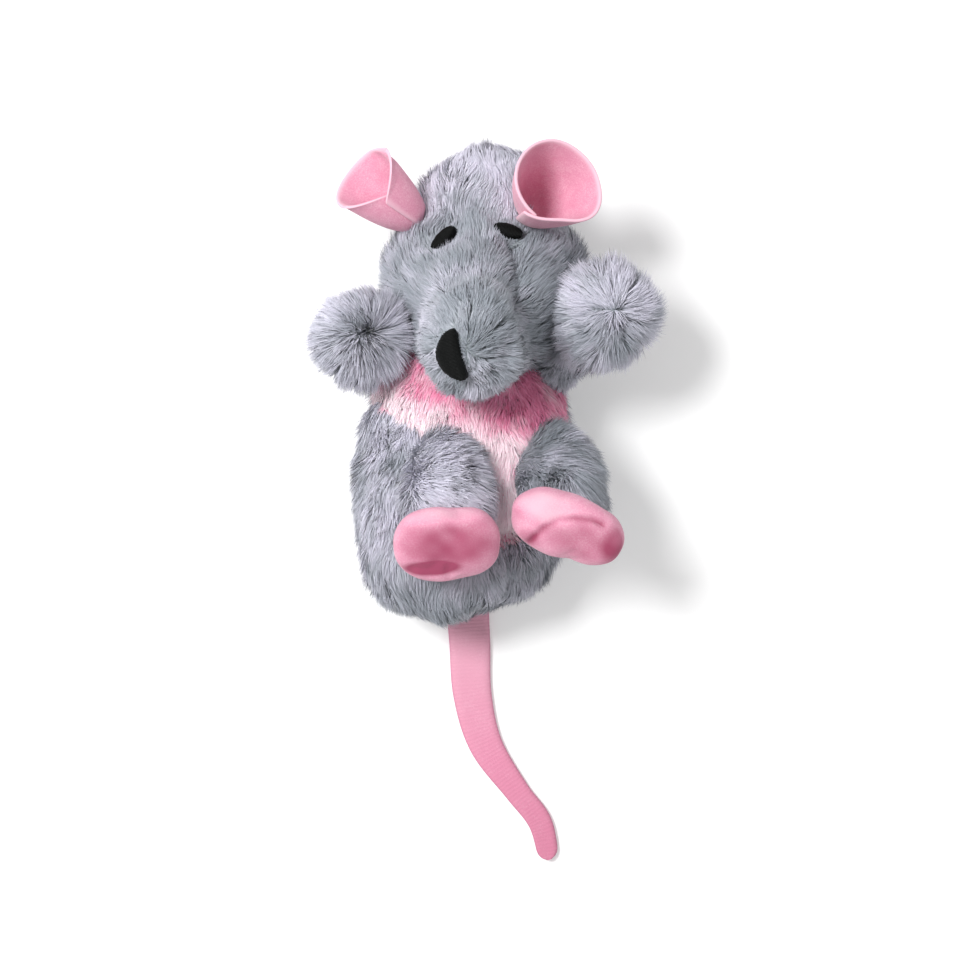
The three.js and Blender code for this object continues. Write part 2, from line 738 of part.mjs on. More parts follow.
function addHead() {
  const neighbour = trunk.solid(SEAM_GAP);
  const column = headSpine.getPoint(NECK.columnShare);
  const plug = ball(neckHinge.pos, NECK.plugRadius, SIDES).add(
    rod(neckHinge.pos, column, NECK.columnRadius),
  );
  const opening = ball(neckHinge.pos, NECK.plugRadius + SEAM_GAP, SIDES).add(
    rod(neckHinge.pos, column, NECK.columnRadius + SEAM_GAP),
  );
  const earSockets = both
    .map((side) => ball(hinges[side + "_ear"].pos, EAR.plugRadius + SEAM_GAP))
    .reduce((all, one) => all.add(one));
  const outside = clearOf(head.solid().intersect(aboveTable), neighbour, neckHinge);
  const shell = outside.subtract(head.hidden(-PLUSH)).subtract(opening).subtract(earSockets);
  const core = clearOf(head.hidden(-PLUSH - SEAM_GAP), neighbour, neckHinge);
  const seam = headSpine.getPoint(1).sub(headSpine.getPoint(0)).normalize();
  const leftward = left.clone().addScaledVector(seam, -seam.dot(left)).normalize();
  const rightward = leftward.clone().negate();
  const middle = headSpine.getPoint(0);
  const onLeft = halfSpace(middle.clone().addScaledVector(leftward, SEAM_GAP / 2), leftward);
  const onRight = halfSpace(middle.clone().addScaledVector(rightward, SEAM_GAP / 2), rightward);
  addPart("left_head_panel", shell.intersect(onLeft), greyPlush);
  addPart("right_head_panel", shell.intersect(onRight), greyPlush);
  addPart("head_filling", core.subtract(earSockets).add(plug), filling);
  addPart("left_eye", stitchedPatch(head, EYE_PLACES.left, EYE), blackThread);
  addPart("right_eye", stitchedPatch(head, EYE_PLACES.right, EYE), blackThread);
  addPart("nose", stitchedPatch(head, NOSE, NOSE), blackThread);
  for (const side of both) {
    const hinge = hinges[side + "_ear"];
    const cup = clearOf(ears[side], head.solid(SEAM_GAP), hinge);
    addPart(side + "_ear", cup.add(ball(hinge.pos, EAR.plugRadius)), pinkVelour);
  }
}

function addLimb(name, form, hinge, plugRadius, cutters) {
  const neighbour = trunk.solid(SEAM_GAP);
  const trim = (solid) =>
    cutters.reduce((rest, cut) => rest.subtract(cut), clearOf(solid, neighbour, hinge));
  const plug = cutters.reduce((rest, cut) => rest.subtract(cut), ball(hinge.pos, plugRadius));
  const opening = ball(hinge.pos, plugRadius + SEAM_GAP);
  const skin = trim(form.solid()).subtract(form.hidden(-PLUSH)).subtract(opening);
  addPart(name + "_skin", skin, greyPlush);
  addPart(name + "_filling", trim(form.hidden(-PLUSH - SEAM_GAP)).add(plug), filling);
}

function addFoot(side) {
  const { form, sole, centre } = feet[side];
  const ankle = hinges[side + "_ankle"];
  const seamHeight = FOOT.halfDepth * FOOT.seamShare;
  const seamAt = (offset) => centre.clone().addScaledVector(sole, seamHeight + offset);
  const shell = form.solid().subtract(form.hidden(-VELOUR));
  const soleSide = halfSpace(seamAt(SEAM_GAP / 2), sole);
  const upperSide = halfSpace(seamAt(-SEAM_GAP / 2), sole.clone().negate());
  const opening = ball(ankle.pos, FOOT.ankleRadius + SEAM_GAP);
  addPart(side + "_foot_sole", shell.intersect(soleSide), pinkVelour);
  addPart(side + "_foot_upper", shell.intersect(upperSide).subtract(opening), pinkVelour);
  const core = form.hidden(-VELOUR - SEAM_GAP).add(ball(ankle.pos, FOOT.ankleRadius));
  addPart(side + "_foot_filling", core, filling);
}

const grownHead = head.solid(CHEEK_GAP);
const nods = [neckHinge.low, 0, neckHinge.high].map((degrees) =>
  turnedAbout(grownHead, neckHinge, degrees),
);

addTrunk();
addHead();
for (const side of both) {
  addLimb(side + "_arm", arms[side], hinges[side + "_shoulder"], ARM.plugRadius, nods);
  const ankle = hinges[side + "_ankle"];
  const grownFoot = feet[side].form.solid(SEAM_GAP);
  const footRange = [ankle.low, 0, ankle.high].map((degrees) =>
    turnedAbout(grownFoot, ankle, degrees),
  );
  const socket = ball(ankle.pos, FOOT.ankleRadius + SEAM_GAP);
  addLimb(side + "_leg", legs[side], hinges[side + "_hip"], LEG.plugRadius, [...footRange, socket]);
  addFoot(side);
}

tailNames.forEach((name, i) => {
  const [from, to] = [TAIL_JOINT_SHARES[i], TAIL_JOINT_SHARES[i + 1]];
  let strip = tailLength(from, to, TAIL_STEPS[i]);
  if (i > 0) strip = strip.subtract(tailKnuckle(from, TAIL.thickness / 2 + SEAM_GAP));
  if (i === 0) strip = strip.add(tailKnuckle(from, TAIL.thickness / 2));
  if (i < 2) strip = strip.add(tailKnuckle(to, TAIL.thickness / 2));
  addPart(name, strip, pinkVelour);
});

export default mouse;
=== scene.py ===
"""A plush catnip mouse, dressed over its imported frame: pile, velour, stitched face and stuffing.

Lengths in this file are millimetres, and become metres where a mesh is made.
"""

import functools
import math

import bpy
import numpy as np
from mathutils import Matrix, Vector
from mathutils.bvhtree import BVHTree


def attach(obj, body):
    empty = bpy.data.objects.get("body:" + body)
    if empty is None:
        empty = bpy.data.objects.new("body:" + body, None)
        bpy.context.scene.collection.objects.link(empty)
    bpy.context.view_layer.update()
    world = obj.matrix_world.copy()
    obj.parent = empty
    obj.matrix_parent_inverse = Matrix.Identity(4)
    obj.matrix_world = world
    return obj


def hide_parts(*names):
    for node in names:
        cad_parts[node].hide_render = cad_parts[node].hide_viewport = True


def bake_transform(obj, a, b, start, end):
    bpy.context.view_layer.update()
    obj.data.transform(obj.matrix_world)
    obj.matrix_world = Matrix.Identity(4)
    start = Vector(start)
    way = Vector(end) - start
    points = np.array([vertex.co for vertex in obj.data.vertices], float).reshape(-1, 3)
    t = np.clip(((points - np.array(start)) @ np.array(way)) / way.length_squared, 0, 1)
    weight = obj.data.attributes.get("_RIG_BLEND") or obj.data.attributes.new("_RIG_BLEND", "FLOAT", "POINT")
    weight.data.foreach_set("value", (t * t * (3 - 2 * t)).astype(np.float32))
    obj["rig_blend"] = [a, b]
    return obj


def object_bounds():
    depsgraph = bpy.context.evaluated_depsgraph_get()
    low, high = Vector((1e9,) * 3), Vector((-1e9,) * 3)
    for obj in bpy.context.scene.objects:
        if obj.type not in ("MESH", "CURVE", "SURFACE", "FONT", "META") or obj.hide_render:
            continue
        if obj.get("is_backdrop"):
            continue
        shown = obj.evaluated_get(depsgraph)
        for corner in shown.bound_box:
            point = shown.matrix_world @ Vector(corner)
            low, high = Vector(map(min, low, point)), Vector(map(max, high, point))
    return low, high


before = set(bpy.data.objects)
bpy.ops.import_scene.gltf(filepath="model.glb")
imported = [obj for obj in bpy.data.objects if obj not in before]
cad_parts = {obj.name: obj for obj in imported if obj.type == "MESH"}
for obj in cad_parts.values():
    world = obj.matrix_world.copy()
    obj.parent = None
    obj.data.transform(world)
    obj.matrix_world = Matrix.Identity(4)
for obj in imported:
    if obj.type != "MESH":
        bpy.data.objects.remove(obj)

CAD_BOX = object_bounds()

bl_info = {
    "name": "Catnip Mouse",
    "version": (1, 0, 0),
    "blender": (4, 5, 0),
    "location": "View3D > Sidebar > Catnip Mouse",
    "description": "Builds a plush catnip mouse over its packed frame",
    "category": "Object",
}

MM = 0.001
SIDES = ("left", "right")

# Cloth
SKIN_INSET = 3.6  # the backing cloth lies this far under the tips of the pile
CLEARANCE = 0.4  # the least gap between the cloth and the filling under it
ABOVE_TABLE = 0.2  # the pile lies at least this far above the table
VELOUR = 1.5

# Stuffing: its pressure, how far it may swell the cloth, and how far out its filling is looked for
PLUSH_STUFFING = (3.0, 0.9, 3.0)
FOOT_STUFFING = (4.0, 0.6, 7.0)

# Pile: its colour, fibres to the square millimetre, length, and how far they lean in to their tufts
PILES = {
    "back": ("grey", 11, 6.2, 0.24),
    "belly": ("pink", 19, 4.8, 0.12),
    "left_flank": ("grey", 15, 6.0, 0.24),
    "right_flank": ("grey", 15, 6.0, 0.24),
    "head": ("grey", 14, 5.6, 0.3),
    "arm": ("grey", 18, 6.8, 0.26),
    "leg": ("grey", 18, 5.8, 0.15),
}
PILE_UNEVENNESS = 0.16
STRIP_POINTS = 5  # points of the strip that stands for a fibre
TIP_REACH = 5.5  # about how far along its comb a fibre of the head ends

# Belly: a wedge from the chest down to a blunt tip, and the line along which its pile is painted light,
# with painted shade in deep pink away from it
BELLY = {"width": 52, "middle": 12, "tip": -12, "tip_aside": 5.5, "tip_width": 8, "waist": 13, "chest": 24}
BELLY_PAINTED_LIGHT = {"line": [(-27, 23), (-14, 16), (-3, 8), (2, -3)], "reach": 12}

# Trunk and head, as in the frame
TRUNK = {
    "line": [(0, 42, 22), (-6.5, 8, 22), (-3.5, -33, 22)],
    "size": (28.5, 22.5),
    "squareness": 2.2,
    "widths": [1.12, 1.02, 0.98, 1.0, 1.04, 1.04],
    "depths": [0.92, 0.93, 0.98, 1.02, 1.04, 0.98],
    "fullness": 0.6,
}
HEAD = {
    "line": [(2.5, 91, 20.5), (3.5, 43, 7.4), (-2.5, 35, 70)],
    "size": (27.5, 22),
    "squareness": 2.05,
    "widths": [0.95, 0.86, 1.02, 0.86, 0.64, 0.82],
    "depths": [0.95, 0.98, 1.0, 0.88, 0.78, 1.05],
}
SIDE_SEAM = 20.7  # height of the seams between the back and the front of the trunk

# Limbs
ARM = {"root": 9, "sink": 3}
ARM_WIDTHS = [0.6, 0.6, 0.64, 0.86, 1.08, 1.06]
LEG = {"root": 8, "sink": 3}
LEG_WIDTHS = [0.9, 0.98, 1.0, 0.96, 0.9, 0.86]
# Their places: share along and turn round the trunk, upper way and length, lower way and length, radius
ARM_PLACES = {
    "left": (0.06, 10, (0.725, 0.65, 0.223), 21.5, (0.2, 0.1, 0.97), 20, 14),
    "right": (0.09, 165, (-0.943, 0.21, 0.25), 14.4, (0.3, 0.1, 0.95), 20, 13),
}
LEG_PLACES = {
    "left": (0.42, 28, (0.18, -0.73, 0.66), 13, (0.18, -0.73, 0.66), 13.5, 13),
    "right": (0.46, 97, (-0.02, -0.93, 0.38), 12, (-0.02, -0.93, 0.38), 12.1, 12.6),
}
FOOT = {
    "depth": 6.6,
    "squareness": 2.3,
    "widths": [0.96, 1.04, 1.02, 0.98, 1.0, 0.92],
    "depths": [0.95, 1.05, 1.0, 0.92, 0.96, 0.95],
    "ankle": 4.6,
    "sink": 0.45,
    "seam": 0.1,
}
FOOT_PLACES = {  # way of the length, way the sole faces, length, half width, bow, and slide along it
    "left": ((0.94, -0.34, 0.02), (0.22, -0.42, 0.88), 29.5, 8.8, 1.6, 0.0),
    "right": ((0.995, 0.05, 0), (0.02, -0.22, 0.97), 27.6, 9.9, 0.4, 0.02),
}

# Ears
EAR_ROOT = 2.2
EAR_SINK = 1.1
EAR_TUCK = 2  # length of the sheet that is sewn into the head
CUP_MARGIN = 1.4  # no pile grows nearer to an ear's roll than this
EAR_RIMS = {  # shares of the mouth's radius, at even steps round it
    "left": [1.07, 0.9, 1.1, 0.93, 0.86, 0.95, 1.03, 1.1, 1.08],
    "right": [1.02, 0.95, 0.97, 0.9, 0.86, 0.86, 0.86, 0.86, 0.88],
}
EAR_PLACES = {  # share and turn, way it points, way it opens, length, mouth, rim's drop, narrow share, wraps
    "left": (0.2, 58, (0.36, 0.27, 0.89), (-0.6, -0.75, 0.3), 21, 10.9, 0.16, 0, (385, 376)),
    "right": (0.26, 146, (-0.8, 0.59, 0.2), (0.18, -0.1, 0.98), 21, 9.8, 0.16, 0.6, (385, 200)),
}

# Face: share along the head, turn round it, roll, length, width and bow of each stitched patch
PATCHES = {
    "left_eye": (0.45, 78, -11, 7.5, 3.8, 0),
    "right_eye": (0.51, 114, 34, 7.8, 3.6, 0),
    "nose": (0.998, 196, -2, 12.9, 6.4, -2.1),
}
STITCHES = {"Spacing": 0.34, "Thread": 0.2, "Height": 0.9}
BED = [(-3.6, 1.0), (-0.2, 1.0), (0.25, 0.95), (0.6, 0.8), (0.85, 0.4)]  # heights and shares of its size
BED_TOP = 0.9
BED_SIDES = 40
PATCH_SINK = 1.4  # a patch lies this far under the tips of the pile

# Tail: shares of its reach aside and along, and of its width, at even steps of its own line
TAIL = {"reach": 73, "width": 11.2, "thickness": 2.4, "aside": -2.7, "clearance": 0.2}
# How its strip is made: steps and sides, squareness of the edges, rounding of the end, and bends
TAIL_CUT = {"step": 0.7, "sides": 28, "edge": 0.55, "rounding": 3.2, "sag": 0.14, "blend": 6}
TAIL_ASIDE = [0, 0, 0.006, 0.015, 0.063, 0.18, 0.263, 0.298]
TAIL_ALONG = [0, 0.1, 0.21, 0.39, 0.574, 0.75, 0.861, 1]
TAIL_WIDTHS = [1, 1, 0.98, 0.92, 0.8, 0.6, 0.57, 0.5]
TAIL_JOINTS = [0, 0.36, 0.68]


def unit(v):
    """Vectors made one unit long."""
    v = np.asarray(v, float)
    return v / np.maximum(np.linalg.norm(v, axis=-1, keepdims=True), 1e-9)


def along_shares(values, share):
    """Values at even steps, joined by one smooth line, at the given shares of its length."""
    values = np.asarray(values, float)
    place = np.clip(share, 0, 1) * (len(values) - 1)
    i = np.minimum(place.astype(int), len(values) - 2)
    t = place - i
    before = values[np.maximum(i - 1, 0)]
    after = values[np.minimum(i + 2, len(values) - 1)]
    a, b = values[i], values[i + 1]
    rise, fall = (b - before) / 2, (after - a) / 2
    return (2 * a - 2 * b + rise + fall) * t**3 + (3 * b - 3 * a - 2 * rise - fall) * t**2 + rise * t + a


def eased(low, high, value):
    """0 up to low, 1 from high on, and a smooth step between them."""
    t = np.clip((value - low) / (high - low), 0, 1)
    return t * t * (3 - 2 * t)


def ripple(points, size, seed):
    """Smooth unevenness, mostly from -1 to 1, with bumps of about that size."""
    random = np.random.default_rng(seed)
    waves = unit(random.normal(size=(14, 3))) * random.uniform(0.6, 1.5, (14, 1)) * math.pi / size
    return np.sin(points @ waves.T + random.uniform(0, 2 * math.pi, 14)).sum(-1) / math.sqrt(14)


def distance_to_line(points, line):
    """Distance of each point from a line of points."""
    line = np.asarray(line, float)
    best = np.full(len(points), 1e9)
    for a, b in zip(line[:-1], line[1:]):
        t = np.clip((points - a) @ (b - a) / ((b - a) @ (b - a)), 0, 1)
        best = np.minimum(best, np.linalg.norm(points - a - t[:, None] * (b - a), axis=1))
    return best


class StuffedForm:
    """A form of rings round a spine of two or three points, which swells and tapers."""

    def __init__(self, line, size, widths, depths, squareness=2, side=(1, 0, 0), fullness=0.7):
        self.line = [np.array(p, float) for p in line]
        self.size, self.widths, self.depths, self.fullness = size, widths, depths, fullness
        self.power, self.side = 2 / squareness, np.array(side, float)

    def spine(self, share):
        """Points of the spine and its directions."""
        t = np.asarray(share, float)[..., None]
        if len(self.line) == 2:
            a, b = self.line
            return a + (b - a) * t, np.broadcast_to(unit(b - a), t.shape[:-1] + (3,))
        a, b, c = self.line
        return a * (1 - t) ** 2 + 2 * b * t * (1 - t) + c * t * t, unit((b - a) * (1 - t) + (c - b) * t)

    def point(self, share, turn, grow=0.0):
        """Points at shares of the spine and turns round it in degrees, moved out by grow."""
        centre, along = self.spine(share)
        across = unit(self.side - (along @ self.side)[..., None] * along)
        front = np.cross(along, across)
        cos = 1 - 2 * np.asarray(share, float)
        sin = np.sqrt(np.maximum(0, 1 - cos**2))
        wide = self.size[0] * along_shares(self.widths, share) * sin**self.fullness + grow * sin
        deep = self.size[1] * along_shares(self.depths, share) * sin**self.fullness + grow * sin
        c, s = np.cos(np.radians(turn)), np.sin(np.radians(turn))
        wide = wide * np.sign(c) * np.abs(c) ** self.power
        deep = deep * np.sign(s) * np.abs(s) ** self.power
        return centre - along * (cos * grow)[..., None] + across * wide[..., None] + front * deep[..., None]

    def place(self, share, turn):
        """A point of the surface, its outward direction, and the directions down and round it."""
        share, turn = np.array(share, float), np.array(turn, float)
        down = unit(self.point(share + 0.002, turn) - self.point(share - 0.002, turn))
        round_it = unit(self.point(share, turn + 1) - self.point(share, turn - 1))
        return self.point(share, turn), unit(np.cross(round_it, down)), down, round_it

    def rings(self, rings, sides, grow):
        """Points, faces, shares and directions towards the end, from one pole to the other."""
        shares = (1 - np.cos(np.pi * np.arange(1, rings) / rings)) / 2
        share, turn = np.meshgrid(shares, 360 * np.arange(sides) / sides, indexing="ij")
        down = unit(self.point(share + 0.002, turn, grow) - self.point(share - 0.002, turn, grow))
        ends = [self.point(np.array(end), np.array(0.0), grow) for end in (0.0, 1.0)]
        points = np.concatenate([ends[:1], self.point(share, turn, grow).reshape(-1, 3), ends[1:]])
        down = np.concatenate([[[0, 0, 0]], down.reshape(-1, 3), [[0, 0, 0]]])
        share = np.concatenate([[0], share.ravel(), [1]])
        return points, ring_faces(rings - 1, sides), share, down


def grid_faces(rows, columns, first=0, closed=True):
    """Faces between rows of points, each row closed to a ring unless told otherwise."""

    def at(row, column):
        return first + row * columns + column % columns

    cells = [(r, c) for r in range(rows - 1) for c in range(columns if closed else columns - 1)]
    return [(at(r, c), at(r, c + 1), at(r + 1, c + 1), at(r + 1, c)) for r, c in cells]


def ring_faces(rings, sides):
    """Faces of rings of points between two end points, facing out."""
    last = 1 + rings * sides
    faces = [(0, 1 + (s + 1) % sides, 1 + s) for s in range(sides)]
    faces += [(last, last - sides + s, last - sides + (s + 1) % sides) for s in range(sides)]
    return faces + grid_faces(rings, sides, first=1)


def limb_form(place, size, widths):
    """A limb's form, from where it leaves the trunk over its elbow or knee to its tip."""
    share, turn, aim, upper, tip_aim, lower, radius = place
    point, normal, _, _ = FORMS["trunk"].place(share, turn)
    hinge, aim = point - normal * size["sink"], unit(aim)
    elbow = hinge + aim * upper
    line = [hinge - aim * size["root"], elbow, elbow + unit(tip_aim) * lower]
    return StuffedForm(line, (radius,) * 2, widths, widths)


def foot_form(side):
    """A foot's form, the direction that its sole faces, and its centre."""
    long, sole, length, half_width, bow, slide = FOOT_PLACES[side]
    long = unit(long)
    sole = unit(np.array(sole) - np.dot(sole, long) * long)
    leg = FORMS[side + "_leg"]
    ankle = leg.line[2] - unit(leg.line[2] - leg.line[1]) * FOOT["ankle"] / 2
    rise = FOOT["depth"] * (1 - FOOT["sink"]) + FOOT["ankle"] / 2
    centre = ankle + sole * rise + long * length * slide
    across = -np.cross(sole, long)
    line = [centre - long * length / 2, centre - across * 2 * bow, centre + long * length / 2]
    size = (half_width, FOOT["depth"])
    form = StuffedForm(line, size, FOOT["widths"], FOOT["depths"], FOOT["squareness"], across)
    return form, sole, centre


FORMS = {"trunk": StuffedForm(**TRUNK), "head": StuffedForm(**HEAD)}
SOLES = {}
for side in SIDES:
    FORMS[side + "_arm"] = limb_form(ARM_PLACES[side], ARM, ARM_WIDTHS)
    FORMS[side + "_leg"] = limb_form(LEG_PLACES[side], LEG, LEG_WIDTHS)
    FORMS[side + "_foot"], *SOLES[side] = foot_form(side)


def ear_sheet(side):
    """The rolled sheet of an ear: a function that gives points for a place round it from -1 to 1, a
    place along it from 0 to 1, and a lift off the middle of the cloth."""
    share, turn, aim, facing, length, mouth, drop, closed, (root_wrap, mouth_wrap) = EAR_PLACES[side]
    point, normal, _, _ = FORMS["head"].place(share, turn)
    root, aim = point - normal * EAR_SINK, unit(aim)
    facing = unit(np.array(facing) - np.dot(facing, aim) * aim)
    across = np.cross(facing, aim)

    def sheet_point(round_it, along, lift, past=0.0):
        opened = np.maximum(0, along - closed) / (1 - closed)
        wrap = np.radians(root_wrap + (mouth_wrap - root_wrap) * opened)
        radius = EAR_ROOT + (mouth - EAR_ROOT) * np.maximum(along, 0) ** 0.6
        shaped = 1 + (along_shares(EAR_RIMS[side], (round_it + 1) / 2) - 1) * eased(0.1, 1, along)
        pinched = np.maximum(eased(-0.12, 0.05, along), 0.08)
        radius = (radius * shaped + lift - 0.8 * np.minimum(1, (wrap / math.pi - 1)) * round_it) * pinched
        angle = round_it * wrap / 2
        reach = length * along * (1 - drop * round_it**2) + past
        radius, angle, reach = (v[..., None] for v in np.broadcast_arrays(radius, angle, reach))
        return root + aim * reach + across * radius * np.sin(angle) - facing * radius * np.cos(angle)

    return sheet_point


def in_cup(points, side):
    """Which points lie within the roll of an ear."""
    sheet_point = ear_sheet(side)
    steps = np.linspace(0.02, 1, 20)
    middle = sheet_point(np.linspace(-1, 1, 21)[None, :], steps[:, None], 0.0)
    aim = unit(EAR_PLACES[side][2])
    root = sheet_point(np.array(0.0), np.array(0.0), -EAR_ROOT)
    along = (points - root) @ aim
    beside = np.linalg.norm(points - root - along[:, None] * aim, axis=1)
    heights = (middle[:, 10] - root) @ aim
    radii = np.linalg.norm(middle[:, 10] - root - heights[:, None] * aim, axis=1)
    return (along > -1) & (beside < np.interp(along, heights, radii) + CUP_MARGIN)


surface_trees = {}  # what surface_tree has made


def surface_tree(name):
    """A search tree of a form's cloth, or of the sheet of an ear."""
    if name not in surface_trees:
        if name.endswith("ear"):
            rounds, steps = np.linspace(-1, 1, 31), np.linspace(0, 1, 16)
            sheet_point = ear_sheet(name.split("_")[0])
            shape = sheet_point(rounds[None, :], steps[:, None], 0.0).reshape(-1, 3)
            faces = grid_faces(len(steps), len(rounds), closed=False)
        else:
            inset = 0 if name.endswith("foot") else -SKIN_INSET
            shape, faces, _, _ = FORMS[name].rings(24, 32, inset)
        surface_trees[name] = BVHTree.FromPolygons([Vector(p) for p in shape], faces)
    return surface_trees[name]


def room(points, names):
    """How far each point is from the nearest of these forms, below zero inside them."""
    least = np.full(len(points), 99.0)
    for name in names:
        tree, ear = surface_tree(name), name.endswith("ear")
        for i, p in enumerate(points):
            near, normal, _, distance = tree.find_nearest(Vector(p), 30)
            if near is not None:
                inside = not ear and (Vector(p) - near).dot(normal) < 0
                least[i] = min(least[i], -distance if inside else distance)
    return least


# Materials, whose patterns have as many patches or bands to the millimetre as their scale says

BANDS = math.pi / 10  # the scale at which a wave has one band to the unit


def linear(hex_colour):
    """The linear colour of an sRGB hex value."""
    parts = [int(hex_colour[i : i + 2], 16) / 255 for i in (1, 3, 5)]
    return tuple(p / 12.92 if p <= 0.04045 else ((p + 0.055) / 1.055) ** 2.4 for p in parts)


def mixed(a, b, share):
    """A colour between two others."""
    return tuple(x + (y - x) * share for x, y in zip(a, b))


def toned(colour, factors):
    """A colour with its channels turned up or down."""
    return tuple(c * f for c, f in zip(colour, factors))


def add_node(tree, kind, values=(), stops=(), **settings):
    """Adds a node with its settings, fills its inputs with values or links, gives a ramp its stops,
    and returns the node's outputs."""
    node = tree.nodes.new(kind)
    for name, value in settings.items():
        setattr(node, name, value)
    for key, value in dict(values).items():
        if isinstance(value, bpy.types.NodeSocket):
            tree.links.new(value, node.inputs[key])
        else:
            node.inputs[key].default_value = value
    for i, (place, colour) in enumerate(stops):
        elements = node.color_ramp.elements
        element = elements[i] if i < len(elements) else elements.new(place)
        element.position, element.color = place, (*colour, 1)
    return node.outputs


def new_material(name, shade):
    """A material whose tree is built by shade, from what adds its nodes and the object coordinates,
    and which gives the inputs of the shader."""
    material = bpy.data.materials.new(name)
    material.use_nodes = True
    material.node_tree.nodes.clear()
    put = functools.partial(add_node, material.node_tree)
    shader = put("ShaderNodeBsdfPrincipled", shade(put, put("ShaderNodeTexCoord")["Object"]))
    put("ShaderNodeOutputMaterial", {"Surface": shader[0]})
    return material


def pile_material(name, root, middle, tip, dark, light):
    """Polyester plush pile, heat-set and brushed. Fibres are painted deeper in colour towards their roots, a
    painted shade between them. A tone made of the nap and random fibre and tuft tones mixes each fibre
    between a dark tint, a painted shade, and a light tint, a painted light."""

    def shade(put, place):
        height, nap, fibre, tuft = (
            put("ShaderNodeAttribute", attribute_name=key)["Fac"]
            for key in ("pile_share", "nap", "fibre_tone", "tuft_tone")
        )
        tone = put("ShaderNodeMath", {0: nap, 1: 0.5}, operation="MULTIPLY")[0]
        tone = put("ShaderNodeMath", {0: fibre, 1: 0.55, 2: tone}, operation="MULTIPLY_ADD")[0]
        tone = put("ShaderNodeMath", {0: tuft, 1: 0.45, 2: tone}, operation="MULTIPLY_ADD")[0]
        # Painted light and shade: the tone mixes each fibre between the dark and the light tint.
        tint = put("ShaderNodeMix", {0: tone, 4: dark, 5: light}, data_type="VECTOR")[1]
        stops = [(0.0, root), (0.3, middle), (1.0, tip)]
        colour = put("ShaderNodeValToRGB", {"Fac": height}, stops=stops)[0]
        colour = put("ShaderNodeVectorMath", {0: colour, 1: tint}, operation="MULTIPLY")[0]
        return {"Base Color": colour, "Roughness": 0.42, "Specular IOR Level": 0.35, "Sheen Weight": 0.3}

    return new_material(name, shade)


def backing_material(name, deep, pale):
    """Knitted backing cloth seen between the roots of the pile, painted as dark as the roots and darker, a
    painted shade, and uneven.
    """

    def shade(put, place):
        noise = put("ShaderNodeTexNoise", {"Vector": place, "Scale": 0.9 / MM, "Detail": 4})
        colour = put("ShaderNodeValToRGB", {"Fac": noise["Fac"]}, stops=[(0.35, deep), (0.65, pale)])[0]
        bump = put("ShaderNodeBump", {"Height": noise["Fac"], "Strength": 0.5, "Distance": 0.5 * MM})
        return {"Base Color": colour, "Roughness": 0.95, "Normal": bump[0]}

    return new_material(name, shade)


def velour_material(name, deep, middle, pale, edge, ribbed=False):
    """Polyester velour, knitted and sheared to a short nap: faintly mottled, with painted shade in a deep
    dark pink
    and painted light in a pale pink where its shading attribute says so. Along an edge it takes the edge
    colour:
    paler on the ears, where the ends of the fibres show, and a dark painted shade on the tail."""

    def shade(put, place):
        coarse = {"Vector": place, "Scale": 0.25 / MM, "Detail": 2, "Roughness": 0.5}
        fine = {"Vector": place, "Scale": 2.6 / MM, "Detail": 3, "Roughness": 0.7}
        patches, nap = (put("ShaderNodeTexNoise", noise) for noise in (coarse, fine))
        mottle = {0: patches["Fac"], 1: 0.35, 2: nap["Fac"]}
        mottle = put("ShaderNodeMath", mottle, operation="MULTIPLY_ADD")[0]
        stops = [(0.4, deep), (0.67, middle), (0.95, pale)]
        colour = put("ShaderNodeValToRGB", {"Fac": mottle}, stops=stops)[0]
        # Painted shade where the shading attribute is above 0, painted light where it is below 0.
        painted_velour_shade = put("ShaderNodeAttribute", attribute_name="painted_velour_shade")["Fac"]
        dark = toned(deep, (0.5, 0.26, 0.34))
        colour = put("ShaderNodeMix", {0: painted_velour_shade, 6: colour, 7: (*dark, 1)}, data_type="RGBA")[2]
        brushed = put("ShaderNodeMath", {0: painted_velour_shade, 1: -1}, operation="MULTIPLY", use_clamp=True)[0]
        painted_light_pink = (*linear("#E3B8C6"), 1)
        colour = put("ShaderNodeMix", {0: brushed, 6: colour, 7: painted_light_pink}, data_type="RGBA")[2]
        # The edge colour: paler fibre ends on the ears, a dark painted shade along the tail's edges.
        cut = put("ShaderNodeAttribute", attribute_name="cut_edge_and_shade")["Fac"]
        colour = put("ShaderNodeMix", {0: cut, 6: colour, 7: (*edge, 1)}, data_type="RGBA")[2]
        height = {0: patches["Fac"], 1: 0.6, 2: nap["Fac"]}
        height = put("ShaderNodeMath", height, operation="MULTIPLY_ADD")[0]
        if ribbed:  # knitted ribs lie across the strip, one each millimetre
            cloth = put("ShaderNodeUVMap", uv_map="cloth")[0]
            wave = {"Vector": cloth, "Scale": BANDS / MM, "Distortion": 1.5, "Detail": 2}
            ribs = put("ShaderNodeTexWave", wave, bands_direction="Y")["Fac"]
            height = put("ShaderNodeMath", {0: ribs, 1: 0.5, 2: height}, operation="MULTIPLY_ADD")[0]
        bump = put("ShaderNodeBump", {"Height": height, "Strength": 0.3, "Distance": 0.5 * MM})
        return {
            "Base Color": colour,
            "Roughness": 0.9,
            "Specular IOR Level": 0.15,
            "Sheen Weight": 0.2,
            "Sheen Roughness": 0.4,
            "Normal": bump[0],
        }

    return new_material(name, shade)


def thread_material(name, colour):
    """Black viscose embroidery thread, satin-stitched: each thread is a soft glossy line."""

    def shade(put, place):
        twist = put("ShaderNodeTexNoise", {"Vector": place, "Scale": 2.5 / MM, "Detail": 2})
        lighter = tuple(min(1, c * 2.2 + 0.004) for c in colour)
        tone = put("ShaderNodeValToRGB", {"Fac": twist["Fac"]}, stops=[(0.3, colour), (0.8, lighter)])[0]
        bump = put("ShaderNodeBump", {"Height": twist["Fac"], "Strength": 0.3, "Distance": 0.2 * MM})
        return {"Base Color": tone, "Roughness": 0.6, "Specular IOR Level": 0.12, "Normal": bump[0]}

    return new_material(name, shade)


